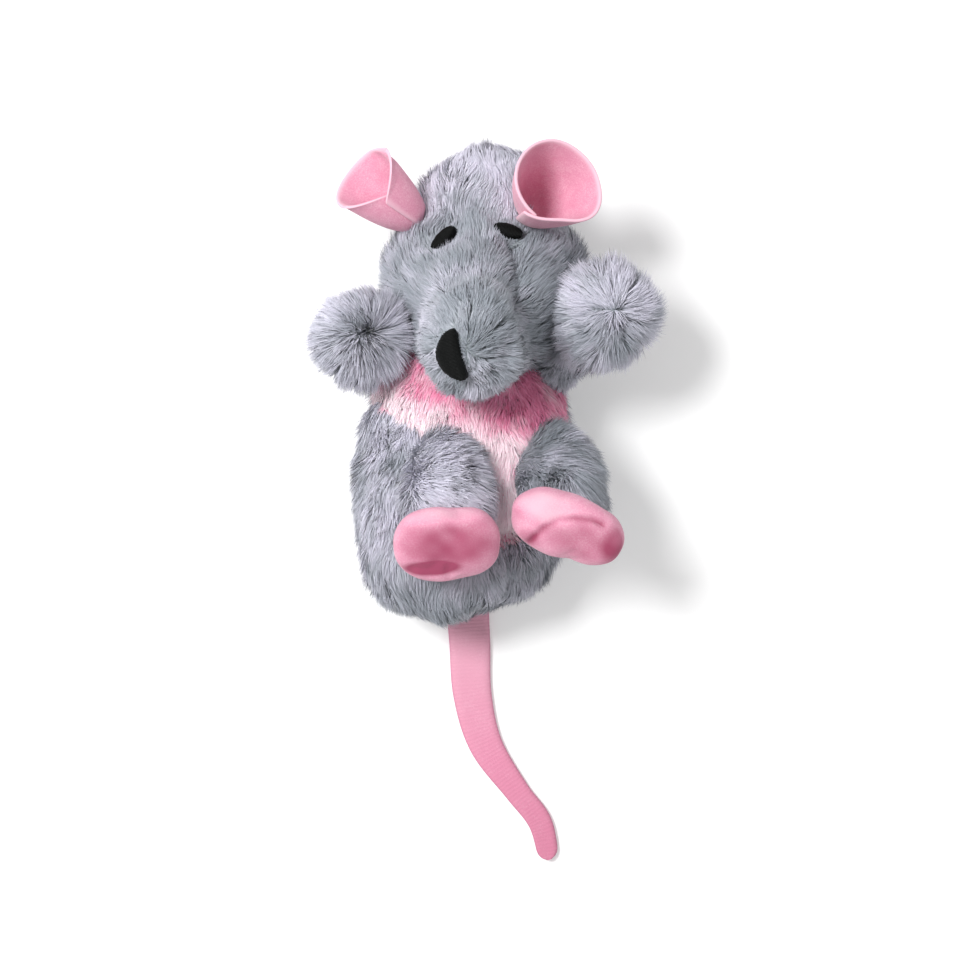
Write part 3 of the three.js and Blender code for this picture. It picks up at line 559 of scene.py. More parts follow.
def stuffing_material():
    """Hollow polyester fibre, blown: white curls, painted a soft grey in the hollows between them as painted
    shade.
    """

    def shade(put, place):
        curled = {"Vector": place, "Scale": 0.5 / MM, "Detail": 6, "Distortion": 2.5}
        curls = put("ShaderNodeTexNoise", curled)
        stops = [(0.35, linear("#CFCCC3")), (0.65, linear("#F7F5EF"))]
        tone = put("ShaderNodeValToRGB", {"Fac": curls["Fac"]}, stops=stops)[0]
        bump = put("ShaderNodeBump", {"Height": curls["Fac"], "Strength": 0.8, "Distance": MM})
        return {"Base Color": tone, "Roughness": 0.9, "Sheen Weight": 0.3, "Normal": bump[0]}

    return new_material("blown_polyester_fibre", shade)


def muslin_material():
    """Unbleached cotton muslin, plain-woven with two threads to the millimetre."""

    def shade(put, place):
        threads = {"Vector": place, "Scale": 2 * BANDS / MM, "Distortion": 0.6}
        warp, weft = (put("ShaderNodeTexWave", threads, bands_direction=way)["Fac"] for way in "XY")
        weave = put("ShaderNodeMath", {0: warp, 1: weft}, operation="MULTIPLY")[0]
        stops = [(0.0, linear("#B9AF98")), (0.6, linear("#EAE3D2"))]
        tone = put("ShaderNodeValToRGB", {"Fac": weave}, stops=stops)[0]
        bump = put("ShaderNodeBump", {"Height": weave, "Strength": 0.5, "Distance": 0.2 * MM})
        return {"Base Color": tone, "Roughness": 0.92, "Normal": bump[0]}

    return new_material("cotton_muslin", shade)


def catnip_material():
    """Dried catnip, rubbed: grey-green crumbs of leaf with brown bits of stalk."""

    def shade(put, place):
        crumbs = put("ShaderNodeTexVoronoi", {"Vector": place, "Scale": 0.9 / MM})
        leaf = [(0.0, linear("#4F5A33")), (0.45, linear("#7F8A55")), (0.75, linear("#A3A36F"))]
        stops = [*leaf, (1.0, linear("#8A6B45"))]
        tone = put("ShaderNodeValToRGB", {"Fac": crumbs["Color"]}, stops=stops)[0]
        bump = put("ShaderNodeBump", {"Height": crumbs["Distance"], "Strength": 1, "Distance": MM})
        return {"Base Color": tone, "Roughness": 0.95, "Normal": bump[0]}

    return new_material("rubbed_dried_catnip", shade)


# Pile


def geometry_tree(name, inputs, output):
    """A tree of Geometry Nodes with named inputs, what adds its nodes, and the values of its inputs."""
    tree = bpy.data.node_groups.new(name, "GeometryNodeTree")
    for socket, kind in inputs.items():
        tree.interface.new_socket(socket, in_out="INPUT", socket_type="NodeSocket" + kind)
    tree.interface.new_socket(output, in_out="OUTPUT", socket_type="NodeSocketGeometry")
    put = functools.partial(add_node, tree)
    return tree, put, put("NodeGroupInput")


def grown_mesh(host, tree, given):
    """What a tree of Geometry Nodes makes of the host, as a plain mesh."""
    modifier = host.modifiers.new(tree.name, "NODES")
    modifier.node_group = tree
    for item in tree.interface.items_tree:
        if item.in_out == "INPUT" and item.name in given:
            modifier[item.identifier] = given[item.name]
    graph = bpy.context.evaluated_depsgraph_get()
    mesh = bpy.data.meshes.new_from_object(host.evaluated_get(graph))
    host.modifiers.clear()
    if not mesh.vertices:
        raise RuntimeError(f"{host.name} came out empty")
    return mesh


def pile_tree():
    """Scatters fibres over a skin. Each rises along the normal, bends over to lie along the comb,
    and leans in to its tuft. Attributes on the skin say how dense, long and flat the pile is."""
    sizes = ("Fibres per area", "Tufts per area", "Length", "Width", "Gathering", "Unevenness")
    inputs = {"Skin": "Geometry", **dict.fromkeys(sizes, "Float"), "Seed": "Int", "Finish": "Material"}
    tree, put, given = geometry_tree("plush_pile", inputs, "Pile")
    comb = put("GeometryNodeInputNamedAttribute", {"Name": "comb"}, data_type="FLOAT_VECTOR")[0]
    dense, longer = (
        put("GeometryNodeInputNamedAttribute", {"Name": name}, data_type="FLOAT")[0]
        for name in ("pile_density", "pile_length")
    )
    scattered = []
    for area, step in (("Fibres per area", 0), ("Tufts per area", 1)):
        density = put("ShaderNodeMath", {0: given[area], 1: dense}, operation="MULTIPLY")[0]
        seed = put("ShaderNodeMath", {0: given["Seed"], 1: step}, operation="ADD")[0]
        scatter = {"Mesh": given["Skin"], "Density": density, "Seed": seed}
        scattered.append(put("GeometryNodeDistributePointsOnFaces", scatter, distribute_method="RANDOM"))
    (fibres, normal, _), (tufts, tuft_normal, _) = scattered
    root = put("GeometryNodeInputPosition")[0]
    sample = {"Geometry": tufts, "Sample Position": root}
    nearest = put("GeometryNodeSampleNearest", sample, domain="POINT")[0]
    gathered = []
    for value in (root, tuft_normal, comb):
        sample = {"Geometry": tufts, "Value": value, "Index": nearest}
        gathered.append(put("GeometryNodeSampleIndex", sample, data_type="FLOAT_VECTOR", domain="POINT")[0])
    tuft_root, tuft_up, tuft_comb = gathered
    ends = {0: (-1, -1, -1), 1: (1, 1, 1)}
    luck, other = (
        put("FunctionNodeRandomValue", {**ends, "Seed": seed}, data_type="FLOAT_VECTOR")[0] for seed in (5, 6)
    )
    tone = put("FunctionNodeRandomValue", {2: 0.0, 3: 1.0, "Seed": 7}, data_type="FLOAT")[1]
    of_tuft = {2: 0.0, 3: 1.0, "ID": nearest, "Seed": 8}
    tuft_tone = put("FunctionNodeRandomValue", of_tuft, data_type="FLOAT")[1]
    spread = put("FunctionNodeRandomValue", {2: 0.7, 3: 1.12, "Seed": 9}, data_type="FLOAT")[1]
    reach = put("ShaderNodeMath", {0: given["Length"], 1: longer}, operation="MULTIPLY")[0]
    reach = put("ShaderNodeMath", {0: reach, 1: spread}, operation="MULTIPLY")[0]
    stray = put("ShaderNodeVectorMath", {0: luck, "Scale": given["Unevenness"]}, operation="SCALE")[0]

    # The bend and the tip of a fibre: it stands up less where the comb is stronger.
    ends = {}
    for name, base, up, lie in (("own", root, normal, comb), ("tuft", tuft_root, tuft_up, tuft_comb)):
        flat = put("ShaderNodeVectorMath", {0: lie}, operation="LENGTH")[1]
        rise = put("ShaderNodeMath", {0: flat, 1: -0.62, 2: 1.0}, operation="MULTIPLY_ADD")[0]
        standing = put("ShaderNodeVectorMath", {0: up, "Scale": rise}, operation="SCALE")[0]
        tip = put("ShaderNodeVectorMath", {0: standing, 1: lie}, operation="ADD")[0]
        tip = put("ShaderNodeVectorMath", {0: tip, 1: stray}, operation="ADD")[0]
        tip = put("ShaderNodeVectorMath", {0: tip, "Scale": reach}, operation="SCALE")[0]
        rising = put("ShaderNodeMath", {0: reach, 1: 0.5}, operation="MULTIPLY")[0]
        bend = put("ShaderNodeVectorMath", {0: up, "Scale": rising}, operation="SCALE")[0]
        ends[name] = [put("ShaderNodeVectorMath", {0: base, 1: v}, operation="ADD")[0] for v in (bend, tip)]
    blends = []
    for own, tuft, share in zip(ends["own"], ends["tuft"], (0.35, 1.0)):
        lean = put("ShaderNodeMath", {0: given["Gathering"], 1: share}, operation="MULTIPLY")[0]
        blends.append(put("ShaderNodeMix", {0: lean, 4: own, 5: tuft}, data_type="VECTOR")[1])
    bend, tip = blends
    along = put("ShaderNodeVectorMath", {0: tip, 1: root}, operation="SUBTRACT")[0]
    facing = {0: other, 1: (0.75, 0.75, 0.75), 2: normal}
    facing = put("ShaderNodeVectorMath", facing, operation="MULTIPLY_ADD")[0]
    across = put("ShaderNodeVectorMath", {0: along, 1: facing}, operation="CROSS_PRODUCT")[0]
    across = put("ShaderNodeVectorMath", {0: across}, operation="NORMALIZE")[0]
    across = put("ShaderNodeVectorMath", {0: across, "Scale": given["Width"]}, operation="SCALE")[0]
    course = {"fibre_root": root, "fibre_bend": bend, "fibre_tip": tip, "fibre_across": across}
    for name, value in {"skin_up": normal, **course, "fibre_tone": tone, "tuft_tone": tuft_tone}.items():
        store = {"Geometry": fibres, "Name": name, "Value": value}
        kind = "FLOAT" if name.endswith("tone") else "FLOAT_VECTOR"
        fibres = put("GeometryNodeStoreNamedAttribute", store, data_type=kind, domain="POINT")[0]

    # One strip stands for a fibre; its places along and across are kept before it is repeated.
    strip = put("GeometryNodeMeshGrid", {"Size X": 1, "Size Y": 1, "Vertices X": 2, "Vertices Y": 3})[0]
    places = put("ShaderNodeSeparateXYZ", {0: put("GeometryNodeInputPosition")[0]})
    share = put("ShaderNodeMath", {0: places[1], 1: 0.5}, operation="ADD")[0]
    at_tip = put("FunctionNodeCompare", {0: share, 1: 0.9}, data_type="FLOAT", operation="GREATER_THAN")[0]
    to_tip = put("ShaderNodeCombineXYZ", {1: 0.5})[0]
    strip = put("GeometryNodeSetPosition", {"Geometry": strip, "Selection": at_tip, "Position": to_tip})[0]
    strip = put("GeometryNodeMergeByDistance", {"Geometry": strip, "Distance": 0.01})[0]
    for name, value in (("pile_share", share), ("pile_side", places[0])):
        store = {"Geometry": strip, "Name": name, "Value": value}
        strip = put("GeometryNodeStoreNamedAttribute", store, data_type="FLOAT", domain="POINT")[0]
    pile = put("GeometryNodeInstanceOnPoints", {"Points": fibres, "Instance": strip})[0]
    pile = put("GeometryNodeRealizeInstances", {"Geometry": pile})[0]

    # Each strip is laid on the curve through root, bend and tip, and narrows to its tip.
    t, s = (
        put("GeometryNodeInputNamedAttribute", {"Name": name}, data_type="FLOAT")[0]
        for name in ("pile_share", "pile_side")
    )
    root, bend, tip, across = (
        put("GeometryNodeInputNamedAttribute", {"Name": name}, data_type="FLOAT_VECTOR")[0] for name in course
    )
    start = put("ShaderNodeMix", {0: t, 4: root, 5: bend}, data_type="VECTOR")[1]
    finish = put("ShaderNodeMix", {0: t, 4: bend, 5: tip}, data_type="VECTOR")[1]
    centre = put("ShaderNodeMix", {0: t, 4: start, 5: finish}, data_type="VECTOR")[1]
    narrow = put("ShaderNodeMath", {0: t, 1: -0.5, 2: 1.0}, operation="MULTIPLY_ADD")[0]
    narrow = put("ShaderNodeMath", {0: narrow, 1: s}, operation="MULTIPLY")[0]
    aside = put("ShaderNodeVectorMath", {0: across, "Scale": narrow}, operation="SCALE")[0]
    place = put("ShaderNodeVectorMath", {0: centre, 1: aside}, operation="ADD")[0]
    lowest = (-9, -9, ABOVE_TABLE * MM)  # the table limits only how low a fibre reaches
    place = put("ShaderNodeVectorMath", {0: place, 1: lowest}, operation="MAXIMUM")[0]
    pile = put("GeometryNodeSetPosition", {"Geometry": pile, "Position": place})[0]
    pile = put("GeometryNodeSetMaterial", {"Geometry": pile, "Material": given["Finish"]})[0]
    put("NodeGroupOutput", {"Pile": pile})
    return tree


def add_map(mesh, name, places):
    """A UV map from a place for each point."""
    corners = np.zeros(len(mesh.loops), np.int32)
    mesh.loops.foreach_get("vertex_index", corners)
    layer = mesh.uv_layers.new(name=name)
    layer.uv.foreach_set("vector", np.asarray(places)[corners].astype(np.float32).ravel())


def fibre_map(mesh):
    """A map in which each fibre has a cell of its own, so that its colours can be baked."""
    count = len(mesh.vertices) // STRIP_POINTS
    cells = math.ceil(math.sqrt(count))
    share, side = (read(mesh, name, 1)[:, 0] for name in ("pile_share", "pile_side"))
    cell = np.arange(len(mesh.vertices)) // STRIP_POINTS
    u = (cell % cells + 0.5 + side * 0.6) / cells
    v = (cell // cells + 0.2 + share * 0.6) / cells
    add_map(mesh, "OFBake", np.stack([u, v], 1))


def read(mesh, name, size):
    """A point attribute as rows of numbers."""
    values = np.zeros(len(mesh.vertices) * size, np.float32)
    mesh.attributes[name].data.foreach_get("vector" if size == 3 else "value", values)
    return values.reshape(-1, size)


def write(mesh, name, values):
    """Keeps numbers or vectors of the points as an attribute."""
    kind, key = ("FLOAT_VECTOR", "vector") if np.ndim(values) == 2 else ("FLOAT", "value")
    layer = mesh.attributes.get(name) or mesh.attributes.new(name, kind, "POINT")
    layer.data.foreach_set(key, np.asarray(values, np.float32).ravel())


def positions(mesh):
    """The points of a mesh in millimetres."""
    points = np.zeros(len(mesh.vertices) * 3)
    mesh.vertices.foreach_get("co", points)
    return points.reshape(-1, 3) / MM


def normals(mesh):
    """The directions in which the points of a mesh face."""
    values = np.zeros(len(mesh.vertices) * 3)
    mesh.vertex_normals.foreach_get("vector", values)
    return values.reshape(-1, 3)


def move_to(mesh, points):
    """Moves the points of a mesh to places in millimetres."""
    mesh.vertices.foreach_set("co", (np.asarray(points) * MM).ravel())
    mesh.update()


def new_piece(name, points, faces, material=None):
    """An object whose mesh has these points in millimetres, smooth-shaded."""
    mesh = bpy.data.meshes.new(name)
    mesh.from_pydata((np.asarray(points) * MM).tolist(), [], [list(map(int, f)) for f in faces])
    mesh.shade_smooth()
    piece = bpy.data.objects.new(name, mesh)
    bpy.context.scene.collection.objects.link(piece)
    if material:
        mesh.materials.append(material)
    return piece


def grow_pile(skin, name, kind, body, finish, seed):
    """Grows pile on a skin as a piece of its own, which rides with the skin's body."""
    sizes = bpy.context.scene.catnip_mouse
    colour, per_mm2, length, gathering = PILES[kind]
    host = bpy.data.objects.new(name, skin.data.copy())
    bpy.context.scene.collection.objects.link(host)
    given = {
        "Fibres per area": per_mm2 * sizes.fibre_share / MM**2,
        "Tufts per area": 1 / sizes.tuft_spacing**2,
        "Length": length * MM,
        "Width": sizes.fibre_width,
        "Gathering": gathering * sizes.gathering,
        "Unevenness": PILE_UNEVENNESS,
        "Seed": seed,
        "Finish": finish[colour + "_pile"],
    }
    mesh = grown_mesh(host, bpy.data.node_groups.get("plush_pile") or pile_tree(), given)
    spare, host.data = host.data, mesh
    bpy.data.meshes.remove(spare)
    mesh.name = name
    fibre_map(mesh)
    mesh.shade_smooth()
    # Fibres scatter light among themselves, so each is lit partly as the cloth under it would be.
    up, own = read(mesh, "skin_up", 3), normals(mesh)
    own *= np.where((own * up).sum(1) < 0, -1, 1)[:, None]
    mesh.normals_split_custom_set_from_vertices(unit(own + sizes.softness * up).tolist())
    shown = ("pile_share", "fibre_tone", "tuft_tone", "nap")
    kept = ("position", "OFBake", "material_index", "custom_normal", *shown)
    for spent in [a.name for a in mesh.attributes if not a.name.startswith(".") and a.name not in kept]:
        mesh.attributes.remove(mesh.attributes[spent])
    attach(host, body)


# Skins


CLOTH_SCALE = 10  # skins are this many times larger while they are simulated, as Cloth is made for
CLOTH_FRAMES = 20


def puff(piece, pressure, cap):
    """Stuffs a closed skin: Cloth under pressure, no point going further than cap."""
    scene, before = bpy.context.scene, positions(piece.data)
    move_to(piece.data, before * CLOTH_SCALE)
    cloth = piece.modifiers.new("Stuffing", "CLOTH")
    settings = cloth.settings
    settings.quality = 5
    settings.mass = 0.3
    settings.tension_stiffness = settings.compression_stiffness = 15
    settings.bending_stiffness = 0.6
    settings.use_pressure = True
    settings.uniform_pressure_force = pressure
    settings.effector_weights.gravity = 0
    cloth.point_cache.frame_start, cloth.point_cache.frame_end = 1, CLOTH_FRAMES
    for number in range(CLOTH_FRAMES):
        scene.frame_set(number + 1)
    graph = bpy.context.evaluated_depsgraph_get()
    swollen = piece.evaluated_get(graph).to_mesh()
    moved = positions(swollen) / CLOTH_SCALE - before
    piece.modifiers.clear()
    scene.frame_set(1)
    far = np.linalg.norm(moved, axis=1, keepdims=True)
    move_to(piece.data, before + moved * np.minimum(1, cap / np.maximum(far, 1e-6)))


def part_of(skin, name, chosen, material):
    """The chosen faces of a skin as a piece of their own."""
    mesh = skin.data
    picked = [f.vertices[:] for f, keep in zip(mesh.polygons, chosen) if keep]
    used = sorted({v for f in picked for v in f})
    order = {v: i for i, v in enumerate(used)}
    piece = new_piece(name, positions(mesh)[used], [[order[v] for v in f] for f in picked], material)
    for attribute in ("comb", "pile_density", "pile_length", "nap", "painted_velour_shade"):
        if attribute in mesh.attributes:
            size = 3 if attribute == "comb" else 1
            values = read(mesh, attribute, size)[used]
            write(piece.data, attribute, values if size == 3 else values[:, 0])
    # The split leaves the normals of the whole skin along its cuts.
    piece.data.normals_split_custom_set_from_vertices(normals(mesh)[used].tolist())
    return piece


def face_centres(mesh):
    """The middles of the faces of a mesh in millimetres."""
    centres = np.zeros(len(mesh.polygons) * 3)
    mesh.polygons.foreach_get("center", centres)
    return centres.reshape(-1, 3) / MM


def cover_filling(skin, names, reach):
    """Lifts the cloth off the filling wherever it would sink into it, and its neighbours with it."""
    points, outward = positions(skin.data), normals(skin.data)
    lift = np.zeros(len(points))
    for name in names:
        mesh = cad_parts[name].data
        faces = [face.vertices[:] for face in mesh.polygons]
        tree = BVHTree.FromPolygons([v.co / MM for v in mesh.vertices], faces)
        for i, (point, way) in enumerate(zip(points, outward)):
            found = tree.ray_cast(Vector(point + way * reach), Vector(-way), reach + CLEARANCE)
            if found[0] is not None:
                lift[i] = max(lift[i], reach - found[3] + CLEARANCE)
    start, end = np.array([edge.vertices[:] for edge in skin.data.edges]).T
    for _ in range(2):
        spread = lift.copy()
        np.maximum.at(spread, start, lift[end])
        np.maximum.at(spread, end, lift[start])
        lift = spread
    move_to(skin.data, points + outward * lift[:, None])


def plush_skin(name, form, rings, sides, bumps=(), folds=(), lumps=0.7, seed=1):
    """The backing cloth of a plush form, with its bumps (place, radius, height) and its folds
    (line, width, depth), and with where its fold lines are kept for the pile."""
    points, faces, share, down = FORMS[form].rings(rings, sides, -SKIN_INSET)
    skin = new_piece(name, points, faces)
    outward = normals(skin.data)
    lift = lumps * ripple(points, 9, seed) + 0.35 * lumps * ripple(points, 4, seed + 1)
    for place, radius, height in bumps:
        lift += height * np.exp(-(np.linalg.norm(points - np.array(place), axis=1) / radius) ** 2)
    crease = np.zeros(len(points))
    for line, width, depth in folds:
        flat = points[:, : len(line[0])]
        near = np.exp(-(distance_to_line(flat, line) / width) ** 2)
        if len(line[0]) == 2:  # seen from the front, so only on the front
            near *= eased(-0.1, 0.2, outward[:, 2])
        lift -= depth * near
        crease = np.maximum(crease, near)
    points = points + outward * lift[:, None]
    points[:, 2] = np.maximum(points[:, 2], 0.6)
    move_to(skin.data, points)
    pressure, swell, reach = PLUSH_STUFFING
    puff(skin, pressure, swell)
    halves = ("front", "back") if form == "trunk" else (form,)
    cover_filling(skin, [half + "_filling" for half in halves], reach)
    return skin, share, down, crease


def comb_pile(skin, direction, flatness, swirl, seed):
    """The way the pile lies: a direction turned about by slow swirls, always along the cloth."""
    points, outward = positions(skin.data), normals(skin.data)
    turn = swirl * (ripple(points, 8, seed) + 0.6 * ripple(points, 3.5, seed + 1))
    turned = direction * np.cos(turn)[:, None] + np.cross(outward, direction) * np.sin(turn)[:, None]
    turned -= outward * (turned * outward).sum(1, keepdims=True)
    flat = flatness * (0.85 + 0.3 * ripple(points, 6, seed + 2))
    turned = unit(turned) * (np.linalg.norm(direction, axis=1) * np.clip(flat, 0.1, 0.95))[:, None]
    write(skin.data, "comb", turned)


def set_nap_and_shading(skin, bias, seed):
    """How pale or dark the pile is: a bias of painted light above 0 and painted shade below 0,
    and slow random patches of brushing.
    """
    points = positions(skin.data)
    uneven = 0.45 * ripple(points, 13, seed) + 0.45 * ripple(points, 4.5, seed + 1)
    write(skin.data, "nap", np.clip(bias + uneven, -1.2, 1.3))


def set_pile(skin, near, crease, ragged=0.08):
    """How dense and how long the pile is: none inside a neighbour, shorter beside it and in folds."""
    points = positions(skin.data)
    gap = room(points, near)
    write(skin.data, "pile_density", eased(-1.6, 0.2, gap))
    length = np.clip(0.6 + gap / 8, 0.6, 1) * (1 - 0.6 * crease) * (1 + ragged * ripple(points, 5, 77))
    write(skin.data, "pile_length", np.clip(length, 0.2, 1.3))


def finish_skin(piece, body, node):
    """Hides the node that the cloth replaces, and makes the cloth ride with its body."""
    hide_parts(node)
    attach(piece, body)


# The trunk

BODY_BUMPS = [((19, -28, 22), 12, -4.5), ((-24, 6, 36), 9, 1.2), ((-21, -22, 34), 9, 1.0)]
BODY_FOLDS = [
    ([(-22.5, 24), (-22, 12), (-19.5, 4), (-12, -4)], 2.2, 2.6),
    ([(-24, 27, 33), (-27, 24, 24), (-28, 22, 14)], 2.4, 2.0),
    ([(24, 20, 36), (27, 18, 26), (27, 17, 16)], 2.4, 2.0),
    ([(6.5, -9), (7, -18), (6, -28)], 3.0, 3.0),
]


def in_belly(points):
    """Which points lie on the pink belly panel."""
    t = np.linspace(0, 1, 40)
    wide, narrow = BELLY["width"] / 2, BELLY["tip_width"] / 2
    along = BELLY["chest"] * (1 - t) ** 2 + 2 * BELLY["waist"] * t * (1 - t) + BELLY["tip"] * t * t
    half = wide * (1 - t) ** 2 + BELLY["middle"] * t * (1 - t) + narrow * t * t
    aside = BELLY["tip_aside"] * np.interp(points[:, 1], along[::-1], t[::-1])
    inside = np.abs(points[:, 0] - aside) < np.interp(points[:, 1], along[::-1], half[::-1])
    return inside & (points[:, 1] > BELLY["tip"]) & (points[:, 2] > SIDE_SEAM)


def make_trunk(finish):
    """The back, the belly and the two flanks: one skin, combed and parted along its seams."""
    skin, share, down, crease = plush_skin(
        "trunk_skin", "trunk", 60, 84, bumps=BODY_BUMPS, folds=BODY_FOLDS, seed=11
    )
    points = positions(skin.data)
    pink = in_belly(points)
    comb_pile(skin, down, 0.74 + 0.16 * pink, 0.4 - 0.1 * pink, 12)
    # Painted light along the belly's line, and painted shade in deep pink away from it, under the head and
    # arms.
    off = distance_to_line(points[:, :2], BELLY_PAINTED_LIGHT["line"]) / BELLY_PAINTED_LIGHT["reach"]
    pink_painted_shading = 2.8 * np.exp(-(off**2)) - 1.1
    grey_painted_shading = np.interp(share, [0, 0.75, 0.95, 1], [0.3, 0.25, -1.0, -1.2])  # painted shade, darker towards the seat
    set_nap_and_shading(skin, np.where(pink, pink_painted_shading, grey_painted_shading), 13)
    set_pile(skin, ["head", *(f"{side}_{part}" for part in ("arm", "leg", "foot") for side in SIDES)], crease)
    length = read(skin.data, "pile_length", 1)[:, 0]
    write(skin.data, "pile_length", length * (1 - 0.3 * eased(0.9, 0.97, share)))
    centres = face_centres(skin.data)
    pink = in_belly(centres)
    front = centres[:, 2] > SIDE_SEAM
    left = centres[:, 0] > FORMS["trunk"].line[-1][0]
    panels = {
        "back": ~front,
        "belly": pink,
        "left_flank": front & ~pink & left,
        "right_flank": front & ~pink & ~left,
    }
    for number, (name, chosen) in enumerate(panels.items()):
        colour = PILES[name][0]
        piece = part_of(skin, name + "_skin", chosen, finish[colour + "_backing"])
        grow_pile(piece, name + "_pile", name, "trunk", finish, 20 + number)
        finish_skin(piece, "trunk", name + "_panel")
    bpy.data.objects.remove(skin)


# The head

HEAD_BUMPS = [
    ((-19, 54, 40), 10, 2.2),
    ((18, 50, 42), 9, 2.0),
    ((-12, 84, 36), 9, 1.5),
    ((9, 30, 60), 9, -2.0),
    ((-14, 33, 60), 8, -1.6),
    ((-3, 22, 60), 9, -1.6),
    ((-1, 55, 44), 8, 2.6),
    ((-9, 50, 44), 8, 2.2),
    ((0, 47, 57), 8, 1.8),
]
HEAD_FOLDS = [
    ([(6.8, 62), (7.8, 54), (8.8, 46), (10, 37), (11, 29)], 2.2, 2.5),
    ([(-15, 46), (-15, 40), (-16, 33)], 2.2, 2.2),
    ([(1, 92, 32), (2, 82, 41), (3, 74, 43)], 2.0, 1.0),
]


def patch_axes(patch):
    """The middle of a stitched patch on the head, its outward way, and its own ways along and across."""
    share, turn, roll = patch[:3]
    point, normal, _, round_it = FORMS["head"].place(share, turn)
    roll = math.radians(roll)
    along = unit(-round_it * math.cos(roll) + np.cross(normal, -round_it) * math.sin(roll))
    return point, normal, along, np.cross(normal, along)


def bowed(x, length, bow):
    """How far aside the bow of a patch takes a point of its middle line."""
    return bow * ((2 * x / length) ** 2 - 0.5)


def patch_line(patch):
    """The middle line of a stitched patch, on the backing cloth of the head."""
    point, normal, along, across = patch_axes(patch)
    length, width, bow = patch[3:]
    x = np.linspace(-0.5, 0.5, 7)[:, None] * (length - width)
    return point - normal * SKIN_INSET + along * x + across * bowed(x, length, bow)


def make_head(finish):
    """The two halves of the head, whose pile runs back from the snout and is short round the face."""
    skin, share, down, crease = plush_skin(
        "head_skin", "head", 64, 84, bumps=HEAD_BUMPS, folds=HEAD_FOLDS, seed=31
    )
    comb_pile(skin, -down, 0.72, 0.38, 32)
    # Painted light on the crown and painted shade from the brow to the snout, deeper on the cheek right of
    # the muzzle.
    nap = np.interp(share, [0, 0.14, 0.34, 0.6, 1], [1.2, 1.0, -0.9, -0.7, -0.7])
    set_nap_and_shading(skin, nap - 0.5 * eased(5, 9, positions(skin.data)[:, 0]) * eased(0.4, 0.55, share), 34)
    set_pile(skin, ["trunk", "left_ear", "right_ear"], crease)
    points = positions(skin.data)
    length = read(skin.data, "pile_length", 1)[:, 0]
    tips = points + TIP_REACH * read(skin.data, "comb", 3)
    for patch in PATCHES.values():
        line, width = patch_line(patch), patch[4]
        far = np.minimum(distance_to_line(points, line), distance_to_line(tips, line)) - width / 2
        length *= 0.3 + 0.7 * eased(0.3, 3.4, far)  # so that the fur leaves it clear
    length *= 1 - 0.25 * eased(0.66, 0.86, share)
    length *= 0.5 + 0.5 * eased(0, 4, room(points, ["left_ear", "right_ear"]))
    write(skin.data, "pile_length", length)
    density = read(skin.data, "pile_density", 1)[:, 0]
    density[in_cup(points, "left") | in_cup(points, "right")] = 0
    write(skin.data, "pile_density", density)
    centres = face_centres(skin.data)
    start, end = FORMS["head"].spine(np.array([0.0, 1.0]))[0]
    seam = unit(end - start)
    leftward = unit(np.array([1, 0, 0]) - seam[0] * seam)
    left = (centres - start) @ leftward > 0
    for number, (name, chosen) in enumerate((("left_head", left), ("right_head", ~left))):
        piece = part_of(skin, name + "_skin", chosen, finish["grey_backing"])
        grow_pile(piece, name + "_pile", "head", "head", finish, 40 + number)
        finish_skin(piece, "head", name + "_panel")
    bpy.data.objects.remove(skin)


# Arms and legs

WHORLS = {"left": (34.9, 46.5, 49), "right": (-25.1, 41.6, 48)}  # where the pile of an arm parts
LEG_WAY = (0.85, -0.5, 0)  # the way that the pile of both legs was brushed
LEG_COMBS = {"left": (0.55, -1.1), "right": (0.3, 0.6)}  # its swirl, and its nap: painted shade on the left leg, painted light on the right


def make_limb(side, kind, finish, number):
    """An arm, whose pile runs away from a whorl, or a leg, whose pile was brushed aside."""
    name = f"{side}_{kind}"
    lumps = 0.9 if kind == "arm" else 0.5
    skin, share, down, crease = plush_skin(name + "_cloth", name, 34, 48, lumps=lumps, seed=50 + number)
    skin.data.materials.append(finish["grey_backing"])
    if kind == "arm":
        away = unit(positions(skin.data) - np.array(WHORLS[side]))
        comb_pile(skin, away, 0.7, 0.35, 60 + number)
        set_nap_and_shading(skin, 0.1, 64 + number)
        set_pile(skin, ["trunk", "head"], crease, ragged=0.13)
        length = read(skin.data, "pile_length", 1)[:, 0]
        write(skin.data, "pile_length", length * (0.55 + 0.45 * eased(0.3, 0.6, share)))
    else:
        swirl, nap = LEG_COMBS[side]
        comb_pile(skin, np.broadcast_to(unit(LEG_WAY), down.shape), 0.84, swirl, 60 + number)
        set_nap_and_shading(skin, nap, 64 + number)
        set_pile(skin, ["trunk", side + "_foot"], crease)
    grow_pile(skin, name + "_pile", kind, name, finish, 70 + number)
    finish_skin(skin, name, name + "_skin")


# Feet

FOOT_DENTS = {"left": ((25, -12, 57.5), 6, 0.6), "right": ((-7, -13, 61), 6.5, 0.3)}  # place, radius, depth
LEFT_CREASE = [(12.6, -11.6), (16.7, -7.6), (20.4, -5.8), (24.1, -5.4), (28.3, -5.8), (31, -7)]
RIGHT_CREASE = [(-16, -17.8), (-12, -18.6), (-7.5, -18.5)]
FOOT_CREASES = {  # line, width, depth, and the strength of the painted shade in its crease
    "left": (LEFT_CREASE, 0.75, 0.85, 0.75),
    "right": (RIGHT_CREASE, 1.3, 0.8, 0.0),
}
SOLE_SHADES = {  # middle, half length and width, and its painted shade, with painted light below 0
    "left": [
        ((27, -11.5, 58), (11, 5.5), 0.5),
        ((34.5, -12, 57), (4, 6.5), 0.55),
        ((12.5, -11, 58), (3, 3), 0.45),
        ((17, -2.5, 58), (9, 4), -0.7),
    ],
    "right": [
        ((-6.6, -12.2, 61), (13.5, 7.2), 0.85),
        ((-11.8, -18.3, 59.5), (7.5, 2.1), 1.5),
        ((-8, -3.4, 60), (13, 4), -0.6),
    ],
}


